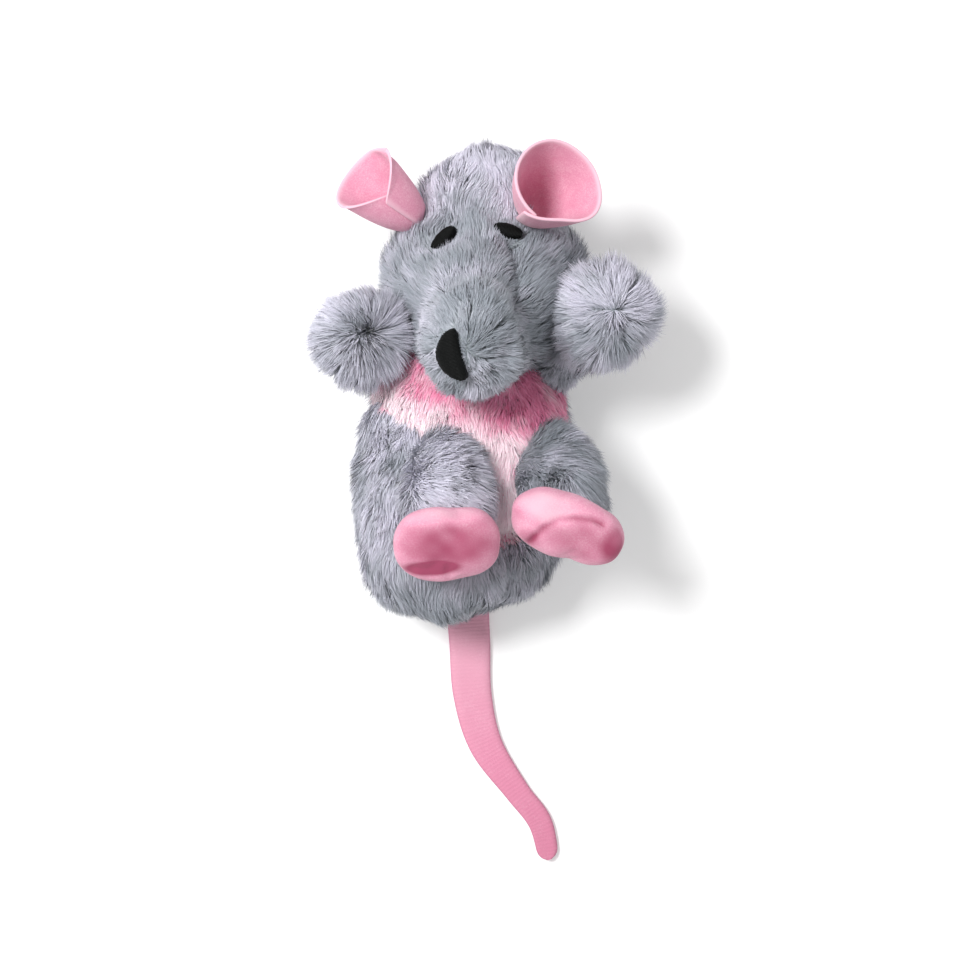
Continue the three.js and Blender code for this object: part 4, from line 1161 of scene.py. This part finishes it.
def make_foot(side, finish):
    """The velour sole and upper of a foot: one skin with a dent and a crease, parted at its seam."""
    form, sole, centre = FORMS[side + "_foot"], *SOLES[side]
    points, faces, _, _ = form.rings(60, 96, -0.5)
    skin = new_piece(side + "_foot_skin", points, faces)
    place, radius, deep = FOOT_DENTS[side]
    line, width, depth, crease_shade = FOOT_CREASES[side]
    lift = 0.25 * ripple(points, 6, 80)
    lift -= deep * np.exp(-(np.linalg.norm(points - np.array(place), axis=1) / radius) ** 2)
    off_crease = distance_to_line(points[:, :2], line) / width
    outward = normals(skin.data)
    lift -= depth * np.exp(-(off_crease**2)) * eased(0.0, 0.4, outward[:, 2])
    move_to(skin.data, points + outward * lift[:, None])
    pressure, swell, reach = FOOT_STUFFING
    puff(skin, pressure, swell)
    cover_filling(skin, [side + "_foot_filling"], reach)
    long = unit(FOOT_PLACES[side][0])
    # Painted shade in the crease and on the sole's dark patches, painted light on its pale patches, where the
    # sole faces.
    painted_velour_shade = crease_shade * np.exp(-((off_crease / 1.2) ** 2))
    for middle, (half_length, half_width), shade in SOLE_SHADES[side]:
        off = positions(skin.data) - np.array(middle)
        off = np.hypot(off @ long / half_length, off @ np.cross(sole, long) / half_width)
        painted_velour_shade += shade * (1 - eased(0.4, 1.25, off))
    facing = eased(0.1, 0.6, normals(skin.data) @ sole)
    write(skin.data, "painted_velour_shade", np.clip(painted_velour_shade * facing, -1, 1.3) + 0.1 * ripple(points, 3, 81))
    below = (face_centres(skin.data) - centre) @ sole > FOOT["depth"] * FOOT["seam"]
    for name, chosen in (("sole", below), ("upper", ~below)):
        piece = part_of(skin, f"{side}_foot_{name}_cloth", chosen, finish["velour"])
        finish_skin(piece, side + "_foot", f"{side}_foot_{name}")
    bpy.data.objects.remove(skin)


# Ears


def make_ear(side, finish):
    """An ear: a velour sheet rolled to a cup, as a closed shell whose rim is rounded."""
    sheet_point, half = ear_sheet(side), VELOUR / 2
    rounds, steps = np.linspace(-1, 1, 61), np.linspace(-0.12, 1, 40)
    # Each loop of points: its place along the ear, its share of the thickness, and its reach past the rim
    loops = [(along, 1 - 0.4 * eased(0.6, 1, along), 0.0) for along in steps]
    loops += [(1.0, 0.6 * math.cos(turn), 0.6 * math.sin(turn)) for turn in np.radians([25, 50, 75])]
    near_side = eased(0.93, 0.99, np.abs(rounds))
    both_walls = np.concatenate([near_side, near_side[::-1]])
    points, edges = [], []
    for along, thick, past in loops:
        points.append(sheet_point(rounds, along, half * thick, half * past))
        points.append(sheet_point(rounds[::-1], along, -half * thick, half * past))
        edges.append(np.maximum(both_walls, eased(0.955, 0.995, along)))
    sides = 2 * len(rounds)
    faces = grid_faces(len(loops), sides)
    last = (len(loops) - 1) * sides
    for s in range(len(rounds) - 1):
        faces.append((s, sides - 1 - s, sides - 2 - s, s + 1))
        faces.append((last + s, last + s + 1, last + sides - 2 - s, last + sides - 1 - s))
    piece = new_piece(side + "_ear_cloth", np.concatenate(points), faces, finish["ear_velour"])
    write(piece.data, "cut_edge_and_shade", np.concatenate(edges))
    soft_edge = piece.modifiers.new("Soft edge", "SUBSURF")
    soft_edge.levels = soft_edge.render_levels = 1
    middle = sheet_point(rounds[None, :], steps[:, None], 0.0)
    a, b = middle[1:, :-1] - middle[:-1, :-1], middle[:-1, 1:] - middle[:-1, :-1]
    wide = np.linalg.norm(np.diff(middle[-1], axis=0), axis=1).sum()
    flat = (wide * MM, (EAR_PLACES[side][4] + EAR_TUCK) * MM)
    area = min(np.linalg.norm(np.cross(a, b), axis=2).sum() * MM**2, flat[0] * flat[1])
    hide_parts(side + "_ear")
    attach(piece, side + "_ear")


# Tail


def smooth_line(points, steps):
    """A curve through points with uneven gaps, in this many steps between each two of them."""
    points = np.array(points, float)
    p = np.concatenate([[2 * points[0] - points[1]], points, [2 * points[-1] - points[-2]]])
    found = []
    for i in range(1, len(p) - 2):
        gaps = np.linalg.norm(np.diff(p[i - 1 : i + 3], axis=0), axis=1) ** 0.5
        t0, t1, t2, t3 = np.concatenate([[0], np.cumsum(gaps)])
        for t in np.linspace(t1, t2, steps, endpoint=False):
            a1 = (t1 - t) / (t1 - t0) * p[i - 1] + (t - t0) / (t1 - t0) * p[i]
            a2 = (t2 - t) / (t2 - t1) * p[i] + (t - t1) / (t2 - t1) * p[i + 1]
            a3 = (t3 - t) / (t3 - t2) * p[i + 1] + (t - t2) / (t3 - t2) * p[i + 2]
            b1 = (t2 - t) / (t2 - t0) * a1 + (t - t0) / (t2 - t0) * a2
            b2 = (t3 - t) / (t3 - t1) * a2 + (t - t1) / (t3 - t1) * a3
            found.append((t2 - t) / (t2 - t1) * b1 + (t - t1) / (t2 - t1) * b2)
    return np.array([*found, p[-2]])


def tail_line():
    """The tail's middle line, from the seat down to the table and along it."""
    _, y, z = FORMS["trunk"].point(np.array(0.9), np.array(270.0))
    lying = TAIL["thickness"] / 2 + TAIL["clearance"]
    x = TAIL["aside"] + TAIL["reach"] * np.array(TAIL_ASIDE)
    y = y - TAIL["reach"] * np.array(TAIL_ALONG)
    z = [z, z + (lying - z) * 0.78] + [lying] * (len(TAIL_ASIDE) - 2)
    return smooth_line(np.stack([x, y, z], 1), 30)


def make_tail(finish):
    """The ribbed velour strip of the tail, in three pieces that bend where the frame's tail does."""
    line = tail_line()
    lengths = np.concatenate([[0], np.cumsum(np.linalg.norm(np.diff(line, axis=0), axis=1))])
    shares = np.linspace(0, 1, len(line))
    steps = np.arange(0, lengths[-1], TAIL_CUT["step"])
    centre = np.stack([np.interp(steps, lengths, line[:, k]) for k in range(3)], 1)
    share = np.interp(steps, lengths, shares)
    along = unit(np.gradient(centre, axis=0))
    across = unit(np.cross(along, (0, 0, 1)))
    up = np.cross(across, along)

    # The outline: it tapers by the frame's shares, and its end is rounded.
    from_end = np.clip((lengths[-1] - steps) / TAIL_CUT["rounding"], 0, 1)
    wide = TAIL["width"] / 2 * along_shares(TAIL_WIDTHS, share)
    wide = wide * np.sqrt(np.clip(1 - (1 - from_end) ** 2, 0.06, 1))

    # The section: flat, with soft edges that are thicker than the middle and sag to the table.
    sides = TAIL_CUT["sides"]
    turns = np.radians(360 * np.arange(sides) / sides)
    aside = np.sign(np.cos(turns)) * np.abs(np.cos(turns)) ** TAIL_CUT["edge"]
    height = TAIL["thickness"] / 2 * np.sin(turns) * (1 - 0.16 * np.cos(np.pi * aside))
    held_up = 0.5 * eased(0.55, 0.85, share)
    lift = height - TAIL_CUT["sag"] * aside**2 * (1 - held_up)[:, None]
    reach = wide[:, None] * aside
    points = centre[:, None] + across[:, None] * reach[..., None] + up[:, None] * lift[..., None]
    points[..., 2] = np.maximum(points[..., 2], 0.15)
    places = np.stack(np.broadcast_arrays(reach, steps[:, None]), -1) * MM

    joints = np.interp(TAIL_JOINTS, shares, lengths)
    cuts = [0, *np.searchsorted(steps, (joints[:-1] + joints[1:]) / 2), len(steps) - 1]
    bodies = ("tail_root", "tail_middle", "tail_tip")
    for i, name in enumerate(bodies):
        part = slice(cuts[i], cuts[i + 1] + 1)
        rows = points[part]
        last = (len(rows) - 1) * sides
        faces = [(a, d, c, b) for a, b, c, d in grid_faces(len(rows), sides)]
        faces += [range(sides), range(last + sides - 1, last - 1, -1)]
        piece = new_piece(name + "_strip", rows.reshape(-1, 3), faces, finish["tail_velour"])
        piece.data.set_sharp_from_angle(angle=math.radians(75))
        add_map(piece.data, "cloth", places[part].reshape(-1, 2))
        # Painted shade along both edges of the tail, in its dark edge colour.
        write(piece.data, "cut_edge_and_shade", 0.35 * eased(0.9, 1.0, np.tile(np.abs(aside), len(rows))))
        # Painted light near the seat, and darker towards the tip.
        down_it = np.repeat(share[part], sides)
        write(piece.data, "painted_velour_shade", 0.25 * eased(0.5, 1, down_it) - 0.45 * (1 - eased(0.2, 0.7, down_it)))
        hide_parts(name)
        if i == 0:
            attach(piece, name)
        else:
            joint = np.array([np.interp(joints[i], lengths, line[:, k]) for k in range(3)])
            way = unit([np.interp(joints[i], steps, along[:, k]) for k in range(3)]) * TAIL_CUT["blend"]
            start, end = tuple((joint - way) * MM), tuple((joint + way) * MM)
            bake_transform(piece, bodies[i - 1], name, start=start, end=end)


# Face


def stitch_tree():
    """Satin stitches side by side over an oval or a bean, each a thread that arches over its width."""
    sizes = ("Length", "Width", "Bow", "Spacing", "Thread", "Height")
    inputs = {**dict.fromkeys(sizes, "Float"), "Finish": "Material"}
    tree, put, given = geometry_tree("satin_stitches", inputs, "Stitches")
    count = put("ShaderNodeMath", {0: given["Length"], 1: given["Spacing"]}, operation="DIVIDE")[0]
    first = put("ShaderNodeMath", {0: given["Length"], 1: -0.485}, operation="MULTIPLY")[0]
    start = put("ShaderNodeCombineXYZ", {0: first})[0]
    step = put("ShaderNodeCombineXYZ", {0: given["Spacing"]})[0]
    row = put("GeometryNodeMeshLine", {"Count": count, "Start Location": start, "Offset": step})[0]
    here = put("GeometryNodeInputPosition")[0]
    across = put("ShaderNodeSeparateXYZ", {0: here})[0]
    luck = put("FunctionNodeRandomValue", {2: -1.0, 3: 1.0, "Seed": 3}, data_type="FLOAT")[1]
    for name, value in (("row", across), ("luck", luck)):
        store = {"Geometry": row, "Name": name, "Value": value}
        row = put("GeometryNodeStoreNamedAttribute", store, data_type="FLOAT")[0]
    thread = put("GeometryNodeMeshCylinder", {"Vertices": 6, "Side Segments": 8, "Radius": 1, "Depth": 2})[0]
    store = {"Geometry": thread, "Name": "thread", "Value": here}
    thread = put("GeometryNodeStoreNamedAttribute", store, data_type="FLOAT_VECTOR")[0]
    stitches = put("GeometryNodeInstanceOnPoints", {"Points": row, "Instance": thread})[0]
    stitches = put("GeometryNodeRealizeInstances", {"Geometry": stitches})[0]
    x = put("GeometryNodeInputNamedAttribute", {"Name": "row"}, data_type="FLOAT")[0]
    luck = put("GeometryNodeInputNamedAttribute", {"Name": "luck"}, data_type="FLOAT")[0]
    local = put("GeometryNodeInputNamedAttribute", {"Name": "thread"}, data_type="FLOAT_VECTOR")[0]
    side, lift, along = put("ShaderNodeSeparateXYZ", {0: local})
    share = put("ShaderNodeMath", {0: x, 1: given["Length"]}, operation="DIVIDE")[0]
    squared = put("ShaderNodeMath", {0: share, 1: share}, operation="MULTIPLY")[0]
    room_left = {0: squared, 1: -4.0, 2: 1.0}
    room_left = put("ShaderNodeMath", room_left, operation="MULTIPLY_ADD", use_clamp=True)[0]
    half = put("ShaderNodeMath", {0: room_left, 1: 0.48}, operation="POWER")[0]
    half = put("ShaderNodeMath", {0: luck, 1: 0.035, 2: half}, operation="MULTIPLY_ADD")[0]
    half = put("ShaderNodeMath", {0: half, 1: given["Width"]}, operation="MULTIPLY")[0]
    half = put("ShaderNodeMath", {0: half, 1: 0.5}, operation="MULTIPLY")[0]
    bow = put("ShaderNodeMath", {0: squared, 1: 4.0, 2: -0.5}, operation="MULTIPLY_ADD")[0]
    bow = put("ShaderNodeMath", {0: bow, 1: given["Bow"]}, operation="MULTIPLY")[0]
    y = put("ShaderNodeMath", {0: along, 1: half, 2: bow}, operation="MULTIPLY_ADD")[0]
    x = put("ShaderNodeMath", {0: side, 1: given["Thread"], 2: x}, operation="MULTIPLY_ADD")[0]
    arch = put("ShaderNodeMath", {0: along, 1: along}, operation="MULTIPLY")[0]
    arch = put("ShaderNodeMath", {0: arch, 1: -1.0, 2: 1.0}, operation="MULTIPLY_ADD", use_clamp=True)[0]
    arch = put("ShaderNodeMath", {0: arch, 1: 0.5}, operation="POWER")[0]
    arch = put("ShaderNodeMath", {0: arch, 1: given["Height"]}, operation="MULTIPLY")[0]
    z = put("ShaderNodeMath", {0: lift, 1: given["Thread"], 2: arch}, operation="MULTIPLY_ADD")[0]
    place = put("ShaderNodeCombineXYZ", {0: x, 1: y, 2: z})[0]
    stitches = put("GeometryNodeSetPosition", {"Geometry": stitches, "Position": place})[0]
    stitches = put("GeometryNodeSetMaterial", {"Geometry": stitches, "Material": given["Finish"]})[0]
    put("NodeGroupOutput", {"Stitches": stitches})
    return tree


def make_patch(name, patch, finish):
    """A stitched patch on the head: a domed bed on the backing cloth, under a row of stitches."""
    length, width, bow = patch[3:]
    host = new_piece(name + "_stitches", [(0, 0, 0)], [])
    sizes = {"Length": length, "Width": width, "Bow": bow, **STITCHES}
    given = {"Finish": finish["thread"], **{key: value * MM for key, value in sizes.items()}}
    mesh = grown_mesh(host, bpy.data.node_groups.get("satin_stitches") or stitch_tree(), given)
    bpy.data.objects.remove(host)
    flat = positions(mesh)
    faces = [p.vertices[:] for p in mesh.polygons]
    threads = len(flat)
    rim = np.linspace(0, 2 * math.pi, BED_SIDES, endpoint=False)
    bed = []
    for height, size in BED:
        x = length / 2 * np.cos(rim) * size
        y = width / 2 * np.sin(rim) * size + bowed(x, length, bow)
        bed.append(np.stack([x, y, np.full(BED_SIDES, height)], 1))
    flat = np.concatenate([flat, *bed, [(0, bowed(0, length, bow), BED_TOP)]])
    faces += grid_faces(len(BED), BED_SIDES, first=threads)
    top, last = len(flat) - 1, len(flat) - 1 - BED_SIDES
    faces += [(last + s, last + (s + 1) % BED_SIDES, top) for s in range(BED_SIDES)]
    faces.append(range(threads + BED_SIDES - 1, threads - 1, -1))

    # Each point is laid on the head along the patch's outward way.
    point, normal, along, across = patch_axes(patch)
    shape, shape_faces, _, _ = FORMS["head"].rings(60, 80, 0.2)
    tree = BVHTree.FromPolygons([Vector(p) for p in shape], shape_faces)
    placed = []
    for x, y, z in flat:
        above = point + along * x + across * y
        hit = tree.ray_cast(Vector(above + normal * 12), Vector(-normal), 40)[0]
        placed.append(np.array(hit or above) + normal * (z - PATCH_SINK))
    piece = new_piece(name + "_satin", placed, faces, finish["thread"])
    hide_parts(name)
    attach(piece, "head")


# Inside, and the stage


def finish_inside(finish):
    """Gives the stuffing, the sachet and the catnip of the frame their materials."""
    for name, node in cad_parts.items():
        kind = "stuffing" if name.endswith("filling") else name.split("_")[0]
        if kind in ("stuffing", "sachet", "catnip"):
            for slot in node.material_slots:
                slot.material = finish[kind]


def seen_directly(put):
    """1 for rays that show a thing as it is seen, in a mirror or through glass, and 0 for its light."""
    light = put("ShaderNodeLightPath")
    seen = light["Is Camera Ray"]
    for ray in ("Is Glossy Ray", "Is Transmission Ray"):
        seen = put("ShaderNodeMath", {0: seen, 1: light[ray]}, operation="MAXIMUM")[0]
    return seen


def painted_table():
    """Matt white paint, which glows a little where it is seen, so that it looks evenly white."""

    def shade(put, place):
        glow = put("ShaderNodeMath", {0: seen_directly(put), 1: 0.22}, operation="MULTIPLY")[0]
        white = {"Base Color": (0.8, 0.8, 0.8, 1), "Roughness": 0.9, "Emission Color": (1, 1, 1, 1)}
        return {**white, "Emission Strength": glow}

    return new_material("painted_table", shade)


CAMERA = {"place": (1.8, 2.5, 725), "lens": 100, "sensor": 36}
FLOOR = 2000  # from the middle of the table to its edges
LAMPS = {"key": ((-500, 290, 1050), 400, 14.0), "fill": ((800, -500, 600), 900, 0.6)}  # place, size, watts
AIM = (0, 0, 30)  # what the lamps point at
WORLD = {"lights": 0.58, "looks": 1.0}


def make_stage():
    """The camera over the mouse, the table under it, a white world and two round soft lamps."""
    scene = bpy.context.scene
    scene.view_settings.view_transform = "Standard"
    camera = bpy.data.objects.new("camera", bpy.data.cameras.new("camera"))
    scene.collection.objects.link(camera)
    camera.location = Vector(CAMERA["place"]) * MM
    camera.data.lens, camera.data.sensor_width = CAMERA["lens"], CAMERA["sensor"]
    camera.data.clip_start, camera.data.clip_end = 0.01, 20
    scene.camera = camera
    corners = [(-FLOOR, -FLOOR, 0), (FLOOR, -FLOOR, 0), (FLOOR, FLOOR, 0), (-FLOOR, FLOOR, 0)]
    new_piece("floor", corners, [(0, 1, 2, 3)], painted_table())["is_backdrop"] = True

    world = bpy.data.worlds.new("studio")
    world.use_nodes = True
    world.node_tree.nodes.clear()
    put = functools.partial(add_node, world.node_tree)
    levels = {"Value": seen_directly(put), "To Min": WORLD["lights"], "To Max": WORLD["looks"]}
    light = {"Color": (1, 1, 1, 1), "Strength": put("ShaderNodeMapRange", levels)[0]}
    put("ShaderNodeOutputWorld", {"Surface": put("ShaderNodeBackground", light)[0]})
    scene.world = world
    for name, (place, size, power) in LAMPS.items():
        lamp = bpy.data.lights.new(name, "AREA")
        lamp.shape, lamp.size, lamp.energy = "DISK", size * MM, power
        holder = bpy.data.objects.new(name, lamp)
        holder.location = Vector(place) * MM
        holder.rotation_euler = Vector(np.subtract(AIM, place)).to_track_quat("-Z", "Y").to_euler()
        scene.collection.objects.link(holder)


# The add-on


class MouseSizes(bpy.types.PropertyGroup):
    """Sizes and colours that a user would change."""

    fibre_width: bpy.props.FloatProperty(
        name="Fibre width",
        description="Width of a fibre at its root",
        default=0.00024,
        min=0.0001,
        max=0.001,
        unit="LENGTH",
    )
    tuft_spacing: bpy.props.FloatProperty(
        name="Tuft spacing",
        description="Distance between tufts",
        default=0.003,
        min=0.001,
        max=0.01,
        unit="LENGTH",
    )
    gathering: bpy.props.FloatProperty(
        name="Gathering",
        description="How far fibres lean in to their tufts, as a share",
        default=1.0,
        min=0,
        max=3,
        subtype="FACTOR",
    )
    softness: bpy.props.FloatProperty(
        name="Softness",
        description="How far fibres are lit as the cloth under them",
        default=1.2,
        min=0,
        max=3,
    )
    fibre_share: bpy.props.FloatProperty(
        name="Fibre share",
        description="Share of the full number of fibres",
        default=1.0,
        min=0.05,
        max=1.5,
        subtype="FACTOR",
    )
    grey_tip: bpy.props.FloatVectorProperty(
        name="Grey tips",
        description="Tips of the grey pile",
        default=linear("#CBCAD4"),
        subtype="COLOR",
        min=0,
        max=1,
    )
    grey_root: bpy.props.FloatVectorProperty(
        name="Grey roots",
        description="Roots of the grey pile",
        default=linear("#9BA1A6"),
        subtype="COLOR",
        min=0,
        max=1,
    )
    pink_tip: bpy.props.FloatVectorProperty(
        name="Pink tips",
        description="Tips of the pink pile",
        default=linear("#FFF3F7"),
        subtype="COLOR",
        min=0,
        max=1,
    )
    pink_root: bpy.props.FloatVectorProperty(
        name="Pink roots",
        description="Roots of the pink pile",
        default=linear("#F68ABA"),
        subtype="COLOR",
        min=0,
        max=1,
    )
    velour: bpy.props.FloatVectorProperty(
        name="Velour",
        description="Pink velour of the ears, feet and tail",
        default=linear("#DA98AF"),
        subtype="COLOR",
        min=0,
        max=1,
    )
    thread: bpy.props.FloatVectorProperty(
        name="Thread",
        description="Thread of the eyes and the nose",
        default=linear("#020303"),
        subtype="COLOR",
        min=0,
        max=1,
    )


finishes = {}  # what make_finishes has made


def make_finishes(sizes):
    """Every material, made once."""
    if finishes:
        return finishes
    pink = tuple(sizes.velour)
    frosted = linear("#FFE3EC")
    pale, edge = mixed(pink, frosted, 0.35), mixed(pink, frosted, 0.4)
    deep = toned(pink, (0.93, 0.78, 0.84))
    piles = {
        # The dark tints are painted shade and the light tints painted light, mixed in by the nap and random
        # tones.
        "grey": (sizes.grey_root, sizes.grey_tip, (0.56, 0.61, 0.62), (1.28, 1.25, 1.3)),
        "pink": (sizes.pink_root, sizes.pink_tip, (0.96, 0.38, 0.6), (1.05, 1.1, 1.08)),
    }
    for colour, (root, tip, dark, light) in piles.items():
        root, tip = tuple(root), tuple(tip)
        middle = mixed(root, tip, 0.6)
        plush, backing = f"{colour}_polyester_plush", f"{colour}_knitted_backing"
        finishes[colour + "_pile"] = pile_material(plush, root, middle, tip, dark, light)
        finishes[colour + "_backing"] = backing_material(backing, toned(root, (0.8, 0.8, 0.8)), root)
    finishes["velour"] = velour_material("pink_polyester_velour", deep, pink, pale, pale)
    finishes["ear_velour"] = velour_material("thick_pink_velour", deep, pink, pale, edge)
    # The tail's edge colour is a dark painted shade.
    ribbed = deep, deep, pink, linear("#B2557F")
    finishes["tail_velour"] = velour_material("ribbed_pink_velour", *ribbed, ribbed=True)
    finishes["thread"] = thread_material("black_viscose_thread", tuple(sizes.thread))
    finishes["stuffing"] = stuffing_material()
    finishes["sachet"] = muslin_material()
    finishes["catnip"] = catnip_material()
    return finishes


class MakeTrunk(bpy.types.Operator):
    """Sew and comb the back, the flanks and the belly"""

    bl_idname = "catnip_mouse.trunk"
    bl_label = "Trunk"

    def execute(self, context):
        make_trunk(make_finishes(context.scene.catnip_mouse))
        return {"FINISHED"}


class MakeHead(bpy.types.Operator):
    """Sew and comb the two halves of the head"""

    bl_idname = "catnip_mouse.head"
    bl_label = "Head"

    def execute(self, context):
        make_head(make_finishes(context.scene.catnip_mouse))
        return {"FINISHED"}


class MakeArms(bpy.types.Operator):
    """Sew and comb the arms"""

    bl_idname = "catnip_mouse.arms"
    bl_label = "Arms"

    def execute(self, context):
        finish = make_finishes(context.scene.catnip_mouse)
        for number, side in enumerate(SIDES):
            make_limb(side, "arm", finish, number)
        return {"FINISHED"}


class MakeLegs(bpy.types.Operator):
    """Sew and comb the legs"""

    bl_idname = "catnip_mouse.legs"
    bl_label = "Legs"

    def execute(self, context):
        finish = make_finishes(context.scene.catnip_mouse)
        for number, side in enumerate(SIDES):
            make_limb(side, "leg", finish, len(SIDES) + number)
        return {"FINISHED"}


class MakeFeet(bpy.types.Operator):
    """Sew the velour feet"""

    bl_idname = "catnip_mouse.feet"
    bl_label = "Feet"

    def execute(self, context):
        finish = make_finishes(context.scene.catnip_mouse)
        for side in SIDES:
            make_foot(side, finish)
        return {"FINISHED"}


class MakeEars(bpy.types.Operator):
    """Roll the velour ears"""

    bl_idname = "catnip_mouse.ears"
    bl_label = "Ears"

    def execute(self, context):
        finish = make_finishes(context.scene.catnip_mouse)
        for side in SIDES:
            make_ear(side, finish)
        return {"FINISHED"}


class MakeFace(bpy.types.Operator):
    """Stitch the eyes and the nose"""

    bl_idname = "catnip_mouse.face"
    bl_label = "Eyes and nose"

    def execute(self, context):
        finish = make_finishes(context.scene.catnip_mouse)
        for name, patch in PATCHES.items():
            make_patch(name, patch, finish)
        return {"FINISHED"}


class MakeTail(bpy.types.Operator):
    """Lay the velour tail"""

    bl_idname = "catnip_mouse.tail"
    bl_label = "Tail"

    def execute(self, context):
        make_tail(make_finishes(context.scene.catnip_mouse))
        return {"FINISHED"}


class MakeInside(bpy.types.Operator):
    """Finish the stuffing and the catnip sachet"""

    bl_idname = "catnip_mouse.inside"
    bl_label = "Stuffing and sachet"

    def execute(self, context):
        finish_inside(make_finishes(context.scene.catnip_mouse))
        return {"FINISHED"}


class MakeStage(bpy.types.Operator):
    """Set the table, the lamps and the camera"""

    bl_idname = "catnip_mouse.stage"
    bl_label = "Stage"

    def execute(self, context):
        make_stage()
        return {"FINISHED"}


class MousePanel(bpy.types.Panel):
    """Lists the sizes, the colours and the pieces"""

    bl_idname = "VIEW3D_PT_catnip_mouse"
    bl_label = "Catnip Mouse"
    bl_space_type = "VIEW_3D"
    bl_region_type = "UI"
    bl_category = "Catnip Mouse"

    def draw(self, context):
        for name in MouseSizes.__annotations__:
            self.layout.prop(context.scene.catnip_mouse, name)
        for operator in OPERATORS:
            self.layout.operator(operator.bl_idname)


PIECES = (MakeTrunk, MakeHead, MakeArms, MakeLegs, MakeFeet, MakeEars, MakeFace, MakeTail, MakeInside)
OPERATORS = (*PIECES, MakeStage)


def register():
    """Adds the sizes, the operators and the panel."""
    for item in (MouseSizes, *OPERATORS, MousePanel):
        bpy.utils.register_class(item)
    bpy.types.Scene.catnip_mouse = bpy.props.PointerProperty(type=MouseSizes)


def unregister():
    """Takes them away again."""
    del bpy.types.Scene.catnip_mouse
    for item in (MousePanel, *reversed(OPERATORS), MouseSizes):
        bpy.utils.unregister_class(item)


def main():
    """Makes the whole mouse."""
    register()
    for operator in OPERATORS:
        getattr(bpy.ops.catnip_mouse, operator.bl_idname.split(".")[1])()
    [[list(corner) for corner in box] for box in (CAD_BOX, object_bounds())]


if __name__ == "__main__":
    main()
